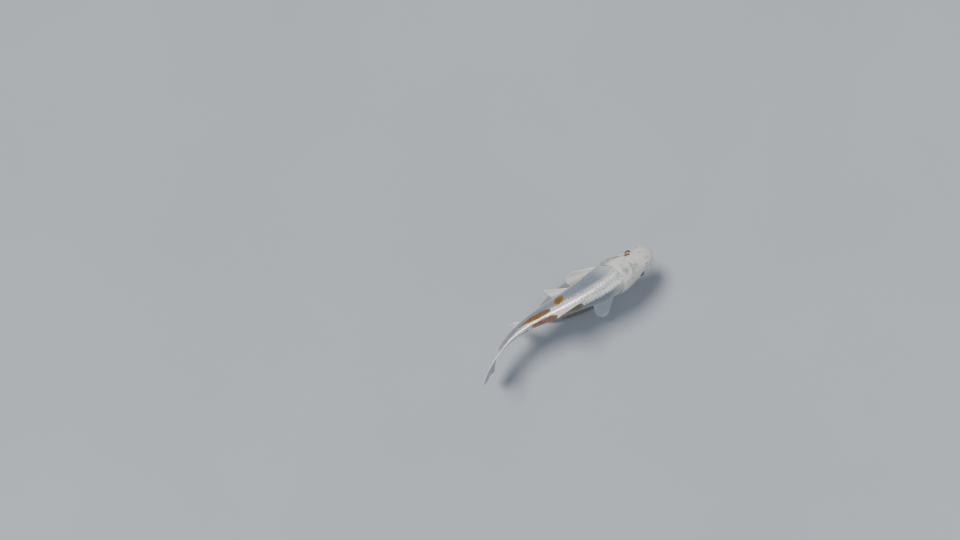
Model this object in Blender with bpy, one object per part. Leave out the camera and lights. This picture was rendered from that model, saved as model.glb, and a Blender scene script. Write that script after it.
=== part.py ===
"""Koi carp, doitsu (mirror-scaled) white and orange, as a still life-size display model on a plain stand.

Frame: metres, +Z up, nose towards -Y, the fish's left side towards +X, origin at the
centre of the stand base's underside.  Every piece is drawn on a straight fish first,
with (x, s, z) in millimetres: x to the fish's left, s from the snout to the tail,
z up from the body axis.  posed() then bends the straight fish along its spine, banks it
and lifts it to its height on the stand.
"""
import math

import bmesh
import bpy
import numpy as np

# ------------------------------------------------------------------ driving sizes, mm
TOTAL_LENGTH = 350.0
STEM_END = 292.0            # where the tail stem gives way to the caudal fin
AXIS_HEIGHT = 90.0          # body axis above the floor, at the middle of the trunk
BANK_DEG = 8.0              # left side up, back leaning to the right
HEAD_BANK_DEG = 0.0         # the head itself is almost level
HEAD_BANK_FROM, HEAD_BANK_TO = 40.0, 112.0
HEAD_TURN_DEG = 6.8         # the head looks a little to the left
HEAD_TURN_FROM, HEAD_TURN_TO = 32.0, 150.0
TAIL_SWEEP_DEG = 34.7       # the tail sweeps to the right
TAIL_SWEEP_FROM, TAIL_SWEEP_TO = 193.0, 336.0
GAP = 0.35                  # clearance between neighbouring solids

# Stations down the body: s, half width, top, bottom, height of the widest line,
# squareness of the upper half and of the lower half of the section.
STATIONS = [
    (0.0, 14.6, 9.2, -7.8, -1.5, 2.15, 2.20),
    (12.0, 16.2, 13.8, -12.8, -2.0, 2.20, 2.25),
    (24.0, 19.2, 19.4, -16.6, -2.5, 2.30, 2.30),
    (38.0, 22.8, 25.4, -21.2, -3.0, 2.35, 2.35),
    (54.0, 27.1, 31.0, -26.2, -3.5, 2.30, 2.35),
    (68.0, 29.3, 34.6, -29.6, -3.5, 2.20, 2.30),
    (84.0, 28.0, 37.2, -32.4, -2.5, 2.10, 2.25),
    (105.0, 25.6, 39.2, -34.8, -0.5, 2.00, 2.20),
    (128.0, 22.2, 39.8, -36.0, 1.5, 1.92, 2.15),
    (155.0, 18.2, 37.8, -35.2, 2.0, 1.90, 2.10),
    (182.0, 15.0, 33.6, -31.4, 1.5, 1.90, 2.05),
    (208.0, 12.0, 28.2, -26.2, 1.0, 1.92, 2.00),
    (232.0, 9.2, 22.8, -20.4, 0.5, 1.95, 2.00),
    (255.0, 6.5, 18.6, -16.6, 0.2, 2.00, 2.00),
    (275.0, 4.4, 16.6, -15.4, 0.0, 2.05, 2.05),
    (292.0, 2.0, 16.6, -16.0, 0.0, 2.10, 2.10),
]
SNOUT_ROUND = 14.0          # length over which the snout closes
HEAD_LENGTH = 82.0          # snout to gill opening, on the widest line

MOUTH_HALF = 11.0
EYE_S, EYE_Z = 34.0, 6.5
EYE_R, EYE_BULGE_R, EYE_SUNK = 5.8, 4.8, 1.6

CAUDAL_UPRIGHT, CAUDAL_TWIST, CAUDAL_CUP = 6.5, 17.0, 3.0

ROD_R = 2.5
ROD_FRONT_S, ROD_REAR_S = 96.0, 178.0
ROD_X = -3.0                # the rods stand a little to the right of the keel
ROD_DEPTH = 10.0            # how far a rod goes into the body
BASE_THICK = 9.0
BASE_HALF_LENGTH, BASE_HALF_WIDTH, BASE_TAPER = 72.0, 30.0, 0.20
BASE_CENTRE_S, BASE_SHIFT_X = 134.0, 4.0


# ------------------------------------------------------------------ curves and body form
def spline(knots, values):
    """Natural cubic spline through (knots, values)."""
    x, y = np.asarray(knots, float), np.asarray(values, float)
    n, h = len(x), np.diff(x)
    a, r = np.eye(n), np.zeros(n)
    for i in range(1, n - 1):
        a[i, i - 1: i + 2] = h[i - 1], 2 * (h[i - 1] + h[i]), h[i]
        r[i] = 6 * ((y[i + 1] - y[i]) / h[i] - (y[i] - y[i - 1]) / h[i - 1])
    m = np.linalg.solve(a, r)

    def at(q):
        q = np.clip(np.asarray(q, float), x[0], x[-1])
        i = np.clip(np.searchsorted(x, q, "right") - 1, 0, n - 2)
        t0, t1, hi = x[i + 1] - q, q - x[i], h[i]
        return (m[i] * t0 ** 3 + m[i + 1] * t1 ** 3) / (6 * hi) + (
            y[i] / hi - m[i] * hi / 6) * t0 + (y[i + 1] / hi - m[i + 1] * hi / 6) * t1

    return at


def smooth(q, lo, hi):
    t = np.clip((np.asarray(q, float) - lo) / (hi - lo), 0, 1)
    return t * t * (3 - 2 * t)


_columns = list(zip(*STATIONS))
half_width, top, bottom, wide_z, n_up, n_down = (
    spline(_columns[0], c) for c in _columns[1:])


def snout(s):
    return np.sqrt(np.clip(1 - (1 - np.clip(s / SNOUT_ROUND, 0, 1)) ** 2, 0, 1))


def section(s, phi, grow=0.0):
    """(x, z) on the body at station s; phi 0 is the back, pi/2 the left side, pi the belly."""
    s, phi = np.broadcast_arrays(np.asarray(s, float), np.asarray(phi, float))
    f, c, q = snout(s), np.cos(phi), np.sin(phi)
    up = c >= 0
    power = 2 / np.where(up, n_up(s), n_down(s))
    reach = np.where(up, top(s) - wide_z(s), wide_z(s) - bottom(s))
    x = (half_width(s) * f + grow) * np.sign(q) * np.abs(q) ** power
    z = wide_z(s) + (reach * f + grow) * np.sign(c) * np.abs(c) ** power
    return x, z


def face_s(x, z):
    """Station where the snout's surface meets a line drawn straight back at (x, z)."""
    s = np.linspace(0.0, 24.0, 481)[1:]
    f = snout(s)
    reach = np.where(z >= wide_z(s), top(s) - wide_z(s), wide_z(s) - bottom(s)) * f
    power = np.where(z >= wide_z(s), n_up(s), n_down(s))
    inside = (abs(x) / (half_width(s) * f)) ** power + (np.abs(z - wide_z(s)) / reach) ** power <= 1
    return float(s[np.argmax(inside)])


# ------------------------------------------------------------------ pose
_ds = 0.25
_grid = np.arange(-40.0, TOTAL_LENGTH + 60.0, _ds)


def spine_angle(s):
    return np.radians(
        HEAD_TURN_DEG * (1 - smooth(s, HEAD_TURN_FROM, HEAD_TURN_TO))
        + TAIL_SWEEP_DEG * smooth(s, TAIL_SWEEP_FROM, TAIL_SWEEP_TO))


_px = np.cumsum(-np.sin(spine_angle(_grid))) * _ds
_py = np.cumsum(np.cos(spine_angle(_grid))) * _ds


def posed(points):
    """Straight-fish points, mm, to the display pose, m."""
    p = np.asarray(points, float).reshape(-1, 3)
    x, s, z = p.T
    a = spine_angle(s)
    mid_x, mid_y = np.interp(BASE_CENTRE_S, _grid, _px), np.interp(BASE_CENTRE_S, _grid, _py)
    spine_x, across = np.interp(s, _grid, _px) - mid_x, x * np.cos(a)
    wy = np.interp(s, _grid, _py) - mid_y + x * np.sin(a)
    lean = math.radians(BANK_DEG)
    b = np.radians(HEAD_BANK_DEG + (BANK_DEG - HEAD_BANK_DEG) * smooth(s, HEAD_BANK_FROM, HEAD_BANK_TO))
    out = np.stack([spine_x * math.cos(lean) + across * np.cos(b) - z * np.sin(b) + BASE_SHIFT_X, wy,
                    spine_x * math.sin(lean) + across * np.sin(b) + z * np.cos(b) + AXIS_HEIGHT], 1)
    return out / 1000.0


# ------------------------------------------------------------------ mesh helpers
def new_mesh(name, points, faces):
    me = bpy.data.meshes.new(name)
    me.from_pydata([tuple(map(float, p)) for p in points], [], [tuple(map(int, f)) for f in faces])
    bm = bmesh.new()
    bm.from_mesh(me)
    bmesh.ops.remove_doubles(bm, verts=bm.verts, dist=1e-4)
    bmesh.ops.recalc_face_normals(bm, faces=bm.faces)
    bmesh.ops.triangulate(bm, faces=[f for f in bm.faces if len(f.verts) > 4])
    bm.to_mesh(me)
    bm.free()
    return me


def add(name, me, cutter=False):
    ob = bpy.data.objects.new(name, me)
    bpy.context.scene.collection.objects.link(ob)
    if cutter:
        ob.hide_render = True
        ob.display_type = "WIRE"
    return ob


def tube(rings, start=None, end=None):
    """Points and faces of a closed body through rings of equal count, closed by a fan at each end."""
    rings = np.asarray(rings, float)
    n, m = rings.shape[:2]
    pts = [tuple(p) for r in rings for p in r]
    faces = [(i * m + j, i * m + (j + 1) % m, (i + 1) * m + (j + 1) % m, (i + 1) * m + j)
             for i in range(n - 1) for j in range(m)]
    for k, tip in ((0, start), (n - 1, end)):
        c = len(pts)
        pts.append(tuple(rings[k].mean(0) if tip is None else tip))
        faces += [(k * m + (j + 1) % m, k * m + j, c) if k == 0 else (k * m + j, k * m + (j + 1) % m, c)
                  for j in range(m)]
    return pts, faces


def cut(ob, other, how="DIFFERENCE"):
    """ob becomes the Boolean of itself and other."""
    mod = ob.modifiers.new("cut", "BOOLEAN")
    mod.operation, mod.object, mod.solver = how, other, "EXACT"
    bpy.context.view_layer.update()
    dg = bpy.context.evaluated_depsgraph_get()
    me = bpy.data.meshes.new_from_object(ob.evaluated_get(dg))
    ob.modifiers.clear()
    old, ob.data = ob.data, me
    bpy.data.meshes.remove(old)
    me.name = ob.name
    return ob


def drop(*obs):
    for o in obs:
        bpy.data.objects.remove(o)


def material(name, colour, rough, metal=0.0):
    m = bpy.data.materials.new(name)
    m.use_nodes = True
    b = m.node_tree.nodes["Principled BSDF"]
    b.inputs["Base Color"].default_value = (*colour, 1)
    b.inputs["Roughness"].default_value = rough
    b.inputs["Metallic"].default_value = metal
    m.diffuse_color = (*colour, 1)
    return m


# ------------------------------------------------------------------ the body and its cuts
SEGMENTS = 28


def gill_line(phi):
    """Station of the head's rear edge round the body: furthest back at the gill cover's flap."""
    side = np.abs(np.sin(phi))
    low = np.clip(-np.cos(phi), 0, 1)
    high = np.clip(np.cos(phi), 0, 1)
    return HEAD_LENGTH - 19.5 * high ** 1.8 - 19.0 * low ** 1.9 - 1.5 * (1 - side)


def body_length(lo, hi, count, grow=0.0, power=1.0, phases=SEGMENTS):
    """Rings between two edge lines, each a function of phi or a number."""
    phi = np.arange(phases) / phases * 2 * math.pi
    a = lo(phi) if callable(lo) else np.full(phases, float(lo))
    b = hi(phi) if callable(hi) else np.full(phases, float(hi))
    rings = []
    for t in np.linspace(0, 1, count) ** power:
        s = a + (b - a) * t
        x, z = section(s, phi, grow)
        rings.append(np.stack([x, s, z], 1))
    return np.array(rings)


def whole_body(grow):
    rings = body_length(0.6, STEM_END, 46, grow, 1.25)
    return tube(rings, start=(0, -grow, -1.5), end=(0, STEM_END + grow, 0))


def side_patch(front, rear, phi_lo, phi_hi, outer, inner, slope=0.0, count=(6, 9)):
    """A plate on the head's side between two edge lines and two phases, with the given offsets;
    its rear edge slopes forward on the inside."""
    ts, ps = np.linspace(0, 1, count[0]), np.linspace(phi_lo, phi_hi, count[1])
    layers = []
    for off, back in ((outer, 0.0), (inner, slope)):
        grid = []
        for p in ps:
            s = front(p) + (rear(p) - back - front(p)) * ts
            x, z = section(s, p, off)
            grid.append(np.stack([x, s, z], 1))
        layers.append(np.array(grid))
    n, m = count[1], count[0]
    pts = np.concatenate([layers[0].reshape(-1, 3), layers[1].reshape(-1, 3)])
    o, faces = n * m, []
    for i in range(n - 1):
        for j in range(m - 1):
            a = i * m + j
            faces += [(a, a + 1, a + m + 1, a + m), (o + a, o + a + m, o + a + m + 1, o + a + 1)]
    rim = ([i * m for i in range(n)] + [(n - 1) * m + j for j in range(1, m)]
           + [i * m + m - 1 for i in range(n - 2, -1, -1)] + [j for j in range(m - 2, 0, -1)])
    for k, a in enumerate(rim):
        b = rim[(k + 1) % len(rim)]
        faces.append((a, b, o + b, o + a))
    return pts, faces


GILL_PHI, GILL_SPAN, GILL_WIDTH = math.radians(99), math.radians(47), 29.0


def gill_front(extra, wider=0.0):
    """Front edge of the gill cover; its recess is drawn a little further out."""
    def at(p):
        q = (p - GILL_PHI) / (GILL_SPAN + wider) * GILL_SPAN / (GILL_SPAN + 0.03)
        return gill_line(p) - GILL_WIDTH * (1 - q * q) ** 0.4 - 1.5 - extra
    return at


def mirrored(pts):
    return np.asarray(pts, float) * (-1, 1, 1)


def jaw_prism(off):
    """The lower jaw's space: below the mouth line, between its corners and ahead of the jaw joint."""
    line = [(-6, -6.6), (5, -6.9), (11, -8.6), (14.0, -11.0), (17.5, -15.5), (19.5, -22), (19.5, -34), (-6, -34)]
    line = [(s + (off if s > 0 else 0), z + (off if z > -30 else 0)) for s, z in line]
    n = len(line)
    pts = [(x, s, z) for x in (-MOUTH_HALF - off, MOUTH_HALF + off) for s, z in line]
    faces = [tuple(range(n)), tuple(range(2 * n - 1, n - 1, -1))]
    faces += [(i, (i + 1) % n, n + (i + 1) % n, n + i) for i in range(n)]
    return pts, faces


def lip(z_mid, z_corner, half, r_mid, r_end, count=13, seg=7):
    """A soft roll round the snout from one mouth corner to the other."""
    xs = half * np.sin(np.linspace(-math.pi / 2, math.pi / 2, count))
    zs = z_mid + (z_corner - z_mid) * (xs / half) ** 2
    path = np.array([(x, face_s(x, z) - 0.2, z) for x, z in zip(xs, zs)])
    path[:, 1] = np.convolve(np.pad(path[:, 1], 1, "edge"), (0.25, 0.5, 0.25), "valid")
    along = np.gradient(path, axis=0)
    rings = []
    for p, d, x in zip(path, along, xs):
        d = unit(d)
        u = unit(np.cross(d, (0, 0, 1)))
        v = np.cross(u, d)
        q = np.arange(seg) / seg * 2 * math.pi
        rad = r_end + (r_mid - r_end) * (1 - (x / half) ** 2)
        rings.append(p + rad * (np.cos(q)[:, None] * u + 0.85 * np.sin(q)[:, None] * v))
    return tube(rings)


def ellipsoid(centre, radii, rings=9, seg=18):
    """Poles along x."""
    t = np.linspace(0, math.pi, rings + 1)[1:-1]
    q = np.arange(seg) / seg * 2 * math.pi
    loops = [np.stack([np.full(seg, centre[0] + radii[0] * math.cos(a)),
                       centre[1] + radii[1] * math.sin(a) * np.cos(q),
                       centre[2] + radii[2] * math.sin(a) * np.sin(q)], 1) for a in t]
    return tube(loops, start=(centre[0] + radii[0], centre[1], centre[2]),
                end=(centre[0] - radii[0], centre[1], centre[2]))


def eye_centre(side):
    """The eyeball's middle: sunk below the head's side at the eye's height."""
    phis = np.linspace(0.3, math.pi / 2, 200)
    x, z = section(np.full(200, EYE_S), phis)
    return side * (np.interp(EYE_Z, z[::-1], x[::-1]) - EYE_SUNK), EYE_S, EYE_Z


# ------------------------------------------------------------------ fins
# A fin is a fan of rays.  ray(a, r): a runs from the leading edge to the trailing edge,
# r from the root to the margin.  thick(a, r) is the whole thickness, in mm.
def unit(v):
    v = np.asarray(v, float)
    return v / np.linalg.norm(v)


def lengths(knots, values, longest):
    f = spline(knots, values)
    return lambda a: longest * f(a)


def dorsal_ray(a, r):
    length = lengths([0, .06, .15, .26, .42, .7, 1], [.80, 1.0, .88, .54, .32, .21, .15], 50.0)(a)
    s0 = 133.0 + 100.0 * a
    rise = np.radians(33.0 - 9.0 * a)             # half folded
    back, up = length * r * np.cos(rise), length * r * np.sin(rise)
    up = up - 2.4 * r * r * (1 - a)
    lean = -0.05 + 0.50 * smooth(a, 0.30, 0.60)   # its low rear part has fallen to the left
    return np.stack([lean * up - 0.6 * np.sin(9.0 * a) * r, s0 + back, top(s0) - 1.2 + up], -1)


def anal_ray(a, r):
    length = lengths([0, .05, .12, .24, .42, .7, 1], [.74, .92, 1.0, .78, .46, .33, .24], 46.0)(a)
    s0 = 222.0 + 21.0 * a
    drop_ = np.radians(45.0 - 12.0 * a)
    back, down = length * r * np.cos(drop_), length * r * np.sin(drop_)
    return np.stack([5.5 * r ** 1.7, s0 + back, bottom(s0) + 1.2 - down], -1)


def caudal_ray(a, r):
    """a from the upper edge (0) to the lower edge (1)."""
    k = 2 * a - 1
    length = lengths([0, .06, .2, .35, .5, .65, .8, .94, 1],
                     [.985, 1.0, .86, .66, .545, .66, .86, 1.0, .985], 64.0)(a)
    spread = np.radians(-26.0 * k) * (1 - 0.10 * r)
    z0 = -15.0 * k
    s0 = STEM_END - 3.0 - 1.5 * k * k
    out = length * r
    # the upper lobe stands upright and hooks to the right at its tip; the lower one trails further right
    aside = (CAUDAL_UPRIGHT * r * (1 - 0.75 * r ** 3) * (1 - k) / 2
             - CAUDAL_TWIST * r ** 1.25 * (k + 1) / 2 - CAUDAL_CUP * r ** 1.6 * (1 - k * k))
    return np.stack([aside, s0 + out * np.cos(spread), z0 + out * np.sin(spread)], -1)


def paired(root, base, middle, across, longest, shape, fan, camber, side):
    """A paired fin from its root's middle, base width, middle ray and the way across the rays."""
    er = unit(middle)
    ew = unit(np.asarray(across, float) - er * np.dot(across, er))
    en = np.cross(er, ew)
    f = lengths(*shape, longest)

    def ray(a, r):
        a, r = np.broadcast_arrays(np.asarray(a, float), np.asarray(r, float))
        turn = np.radians(fan[0] + (fan[1] - fan[0]) * a)
        turn = turn * (1 + 0.12 * r)
        out = f(a) * r
        p = (np.asarray(root)[None, :] if a.ndim == 1 else np.asarray(root))
        p = p + ew * ((a - 0.5) * base)[..., None]
        p = p + er * (out * np.cos(turn) - 3.0)[..., None] + ew * (out * np.sin(turn))[..., None]
        p = p + en * (camber * r * r * (0.6 + 0.4 * np.cos(math.pi * (a - 0.4))))[..., None]
        return p * np.array([side, 1, 1])

    return ray


PECTORAL_SHAPE = ([0, .05, .13, .26, .42, .6, .78, .92, 1], [.72, .83, .92, .985, 1.0, .945, .83, .69, .54])
PELVIC_SHAPE = ([0, .08, .3, .55, .8, 1], [.97, 1.0, .91, .79, .66, .52])
pectoral_left = paired((19.0, 84.0, -20.5), 12.0, (9.5, 57, -9), (-21, -2, -13), 62.0,
                       PECTORAL_SHAPE, (-9, 26), 2.5, 1)
pectoral_right = paired((19.0, 84.0, -20.5), 12.0, (32, 39, -24), (-14, 18, -12), 59.0,
                        PECTORAL_SHAPE, (-10, 13.5), -2.5, -1)
pelvic_left = paired((8.8, 142.0, -31.3), 8.5, (10.5, 42, -11), (-16, 6, -8), 46.0,
                     PELVIC_SHAPE, (-8, 20), 1.5, 1)
pelvic_right = paired((8.8, 142.0, -31.3), 8.0, (8, 42, -18), (-14, 4, -9), 44.0,
                      PELVIC_SHAPE, (-8, 13), 1.5, -1)


def fin_solid(ray, thick, a_range=(0.0, 1.0), count=(12, 9)):
    """Closed plate round the fan of rays: points and faces."""
    aa = np.linspace(*a_range, count[0])
    rr = np.linspace(0, 1, count[1])
    a, r = np.meshgrid(aa, rr, indexing="ij")
    mid = np.array([ray(np.full(count[1], q), rr) for q in aa])
    da, dr = np.gradient(mid, axis=0), np.gradient(mid, axis=1)
    nrm = np.cross(da, dr)
    nrm /= np.linalg.norm(nrm, axis=2, keepdims=True) + 1e-12
    t = thick(a, r)[..., None] / 2
    n, m = count
    pts = np.concatenate([(mid + nrm * t).reshape(-1, 3), (mid - nrm * t).reshape(-1, 3)])
    o, faces = n * m, []
    for i in range(n - 1):
        for j in range(m - 1):
            q = i * m + j
            faces += [(q, q + 1, q + m + 1, q + m), (o + q, o + q + m, o + q + m + 1, o + q + 1)]
    rim = ([i * m for i in range(n)] + [(n - 1) * m + j for j in range(1, m)]
           + [i * m + m - 1 for i in range(n - 2, -1, -1)] + [j for j in range(m - 2, 0, -1)])
    for k, q in enumerate(rim):
        w = rim[(k + 1) % len(rim)]
        faces.append((q, w, o + w, o + q))
    return pts, faces


def plate(root_t, edge_t, lead=0.0):
    """Thickness from root to margin, with a stouter leading ray."""
    return lambda a, r: edge_t + (root_t - edge_t) * (1 - r) ** 1.6 + lead * np.exp(-(a / 0.07) ** 2)


# ------------------------------------------------------------------ barbels
def barbel(root, lead, tip, r0, r1, side, count=7, seg=7):
    """A tapering feeler along a quadratic curve."""
    p0, p1, p2 = (np.asarray(p, float) * (side, 1, 1) for p in (root, lead, tip))
    rings = []
    for t in np.linspace(0, 1, count):
        c = p0 * (1 - t) ** 2 + p1 * 2 * t * (1 - t) + p2 * t * t
        d = unit(2 * (1 - t) * (p1 - p0) + 2 * t * (p2 - p1))
        u = unit(np.cross(d, (0, 0, 1)))
        v = np.cross(d, u)
        q = np.arange(seg) / seg * 2 * math.pi
        rad = r0 + (r1 - r0) * t ** 0.8
        rings.append(c + rad * (np.cos(q)[:, None] * u + np.sin(q)[:, None] * v))
    return tube(rings, end=p2 + unit(p2 - p1) * r1)


# ------------------------------------------------------------------ stand
def base_outline(k):
    """Oval narrowing towards the fish's tail; k runs round it."""
    y = BASE_HALF_LENGTH * np.cos(k)
    w = BASE_HALF_WIDTH * (1 - BASE_TAPER * (y / BASE_HALF_LENGTH))
    return w * np.sign(np.sin(k)) * np.abs(np.sin(k)) ** 0.86, y


def base_solid(seg=40):
    k = np.arange(seg) / seg * 2 * math.pi
    loops = []
    for z, inset in ((0.0, 0.8), (0.8, 0.0), (BASE_THICK - 1.6, 0.0), (BASE_THICK - 0.5, 0.5), (BASE_THICK, 1.6)):
        x, y = base_outline(k)
        f = 1 - inset / np.hypot(x, y)
        loops.append(np.stack([x * f, y * f, np.full(seg, z)], 1))
    return tube(loops, start=(0, 0, 0), end=(0, 0, BASE_THICK))


def cylinder(centre_xy, r, z0, z1, seg=16, chamfer=0.4):
    q = np.arange(seg) / seg * 2 * math.pi
    loops = []
    for z, rr in ((z0, r - chamfer), (z0 + chamfer, r), (z1 - chamfer, r), (z1, r - chamfer)):
        loops.append(np.stack([centre_xy[0] + rr * np.cos(q), centre_xy[1] + rr * np.sin(q), np.full(seg, z)], 1))
    return tube(loops, start=(*centre_xy, z0), end=(*centre_xy, z1))


# ------------------------------------------------------------------ build
def main():
    for o in list(bpy.data.objects):
        bpy.data.objects.remove(o)

    mats = {
        "skin": material("skin", (0.80, 0.80, 0.78), 0.32, 0.25),
        "fin": material("fin", (0.82, 0.80, 0.74), 0.45),
        "eye": material("eye", (0.03, 0.03, 0.03), 0.08),
        "stand": material("stand", (0.62, 0.63, 0.64), 0.45),
        "rod": material("rod", (0.70, 0.70, 0.71), 0.28, 1.0),
    }
    made = {}

    def solid(name, pts_faces, mat):
        ob = add(name, new_mesh(name, *pts_faces))
        ob.data.materials.append(mats[mat])
        made[name] = ob
        return ob

    # body lengths, parted by thin curved or flat cuts
    head = solid("head", tube(body_length(0.6, gill_line, 15, 0, 1.35), start=(0, 0, -1.5),
                              end=(0, HEAD_LENGTH - 6, -1)), "skin")
    solid("trunk_front", tube(body_length(lambda p: gill_line(p) + GAP, 150.0 - GAP / 2, 10),
                              start=(0, HEAD_LENGTH - 6 + GAP, -1)), "skin")
    solid("trunk_rear", tube(body_length(150.0 + GAP / 2, 215.0 - GAP / 2, 8)), "skin")
    solid("tail_stem", tube(body_length(215.0 + GAP / 2, STEM_END, 10)), "skin")

    # gill covers and lower jaw, each in its own recess of the head
    lo, hi = GILL_PHI - GILL_SPAN, GILL_PHI + GILL_SPAN
    for side, name in ((1, "gill_cover_left"), (-1, "gill_cover_right")):
        pts, faces = side_patch(gill_front(0), gill_line, lo, hi, 0.35, -3.0, 1.6)
        solid(name, (pts * (side, 1, 1), faces), "skin")
        d = GAP / 20.0
        pts, faces = side_patch(gill_front(GAP * 1.3, d), lambda p: gill_line(p) + 3, lo - d, hi + d, 4.0, -3.0 - GAP)
        tool = add("tool", new_mesh("tool", pts * (side, 1, 1), faces), True)
        cut(head, tool)
        drop(tool)
    jaw = solid("lower_jaw", tube(body_length(0.6, gill_line, 15, 0, 1.35), start=(0, 0, -1.5),
                                  end=(0, HEAD_LENGTH - 6, -1)), "skin")
    tool = add("tool", new_mesh("tool", *jaw_prism(0)), True)
    cut(jaw, tool, "INTERSECT")
    drop(tool)
    tool = add("tool", new_mesh("tool", *jaw_prism(GAP)), True)
    cut(head, tool)
    drop(tool)

    # eyes in their sockets
    for side, name in ((1, "eye_left"), (-1, "eye_right")):
        c = eye_centre(side)
        solid(name, ellipsoid(c, (EYE_BULGE_R, EYE_R, EYE_R)), "eye")
        g = GAP
        tool = add("tool", new_mesh("tool", *ellipsoid(c, (EYE_BULGE_R + g, EYE_R + g, EYE_R + g), 9, 20)), True)
        cut(head, tool)
        drop(tool)

    # feelers and fins, trimmed a hair clear of the body
    grown = add("grown", new_mesh("grown", *whole_body(GAP)), True)
    for side, word in ((1, "left"), (-1, "right")):
        solid("barbel_rear_" + word,
              barbel((12.2, 11.5, -9.6), (21.0, 9.0, -11.5), (24.5, 13.5, -19.5), 1.15, 0.5, side), "skin")
        solid("barbel_front_" + word,
              barbel((10.5, 7.5, -1.5), (15.6, 4.5, -2.5), (17.4, 5.0, -8.5), 0.9, 0.45, side), "skin")
    solid("upper_lip", lip(-4.3, -9.2, MOUTH_HALF, 2.6, 1.3), "skin")
    solid("lower_lip", lip(-8.85, -10.7, MOUTH_HALF - 1.2, 2.15, 0.9), "skin")
    solid("dorsal_fin", fin_solid(dorsal_ray, plate(2.6, 0.8, 0.9), count=(22, 7)), "fin")
    solid("anal_fin", fin_solid(anal_ray, plate(2.4, 0.8, 0.7), count=(10, 7)), "fin")
    solid("caudal_fin_upper", fin_solid(caudal_ray, plate(3.2, 0.8), (0.0, 0.4965)), "fin")
    solid("caudal_fin_lower", fin_solid(caudal_ray, plate(3.2, 0.8), (0.5035, 1.0)), "fin")
    for name, ray in (("pectoral_fin_left", pectoral_left), ("pectoral_fin_right", pectoral_right)):
        solid(name, fin_solid(ray, plate(4.2, 0.8, 0.5)), "fin")
    for name, ray in (("pelvic_fin_left", pelvic_left), ("pelvic_fin_right", pelvic_right)):
        solid(name, fin_solid(ray, plate(3.4, 0.8, 0.5), count=(10, 7)), "fin")
    for name, ob in made.items():
        if "barbel" in name or "fin" in name or "lip" in name:
            cut(ob, grown)
            keep_largest(ob)
    drop(grown)

    # bend, bank and lift everything drawn so far
    for ob in made.values():
        co = np.empty(len(ob.data.vertices) * 3)
        ob.data.vertices.foreach_get("co", co)
        ob.data.vertices.foreach_set("co", posed(co).ravel())
        ob.data.update()

    # stand: base, and two rods that run up into the belly
    pts, faces = base_solid()
    base = solid("stand_base", (np.asarray(pts) / 1000.0, faces), "stand")
    for name, s, owner in (("stand_rod_front", ROD_FRONT_S, "trunk_front"), ("stand_rod_rear", ROD_REAR_S, "trunk_rear")):
        foot = posed([(ROD_X, s, float(bottom(s)))])[0] * 1000.0
        xy, belly = (foot[0], foot[1]), foot[2]
        pts, faces = cylinder(xy, ROD_R, BASE_THICK - 6.0 + GAP, belly + ROD_DEPTH)
        solid(name, (np.asarray(pts) / 1000.0, faces), "rod")
        for target, z0, z1 in ((base, BASE_THICK - 6.0, 40.0), (made[owner], 20.0, belly + ROD_DEPTH + GAP)):
            pts, faces = cylinder(xy, ROD_R + GAP, z0, z1)
            tool = add("tool", new_mesh("tool", np.asarray(pts) / 1000.0, faces), True)
            cut(target, tool)
            drop(tool)

    for ob in made.values():
        ob.data.shade_smooth()
        ob.data.set_sharp_from_angle(angle=math.radians(35))


def keep_largest(ob):
    """Drops the scraps that a trim leaves inside the body."""
    bm = bmesh.new()
    bm.from_mesh(ob.data)
    left, parts = set(bm.verts), []
    while left:
        stack, part = [left.pop()], []
        while stack:
            v = stack.pop()
            part.append(v)
            for e in v.link_edges:
                w = e.other_vert(v)
                if w in left:
                    left.remove(w)
                    stack.append(w)
        parts.append(part)
    parts.sort(key=len, reverse=True)
    for part in parts[1:]:
        bmesh.ops.delete(bm, geom=part, context="VERTS")
    bm.to_mesh(ob.data)
    bm.free()


main()
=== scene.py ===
import math
import random

import bmesh
import bpy
import numpy as np
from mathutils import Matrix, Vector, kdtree


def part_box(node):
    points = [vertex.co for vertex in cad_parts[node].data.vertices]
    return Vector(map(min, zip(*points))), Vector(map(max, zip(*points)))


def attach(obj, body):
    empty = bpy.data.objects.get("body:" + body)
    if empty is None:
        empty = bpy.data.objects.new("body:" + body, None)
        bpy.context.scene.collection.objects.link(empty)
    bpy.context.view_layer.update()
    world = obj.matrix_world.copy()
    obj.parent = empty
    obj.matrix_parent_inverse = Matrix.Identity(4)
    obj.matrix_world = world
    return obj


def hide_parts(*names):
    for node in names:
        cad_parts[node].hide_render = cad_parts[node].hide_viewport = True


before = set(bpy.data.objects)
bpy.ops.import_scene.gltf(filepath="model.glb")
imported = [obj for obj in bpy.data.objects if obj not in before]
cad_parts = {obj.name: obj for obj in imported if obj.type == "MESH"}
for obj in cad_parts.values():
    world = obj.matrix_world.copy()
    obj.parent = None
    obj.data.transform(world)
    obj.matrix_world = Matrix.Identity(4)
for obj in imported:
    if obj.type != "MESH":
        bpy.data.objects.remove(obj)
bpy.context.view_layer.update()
random.seed(7)
rng = np.random.default_rng(7)

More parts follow.
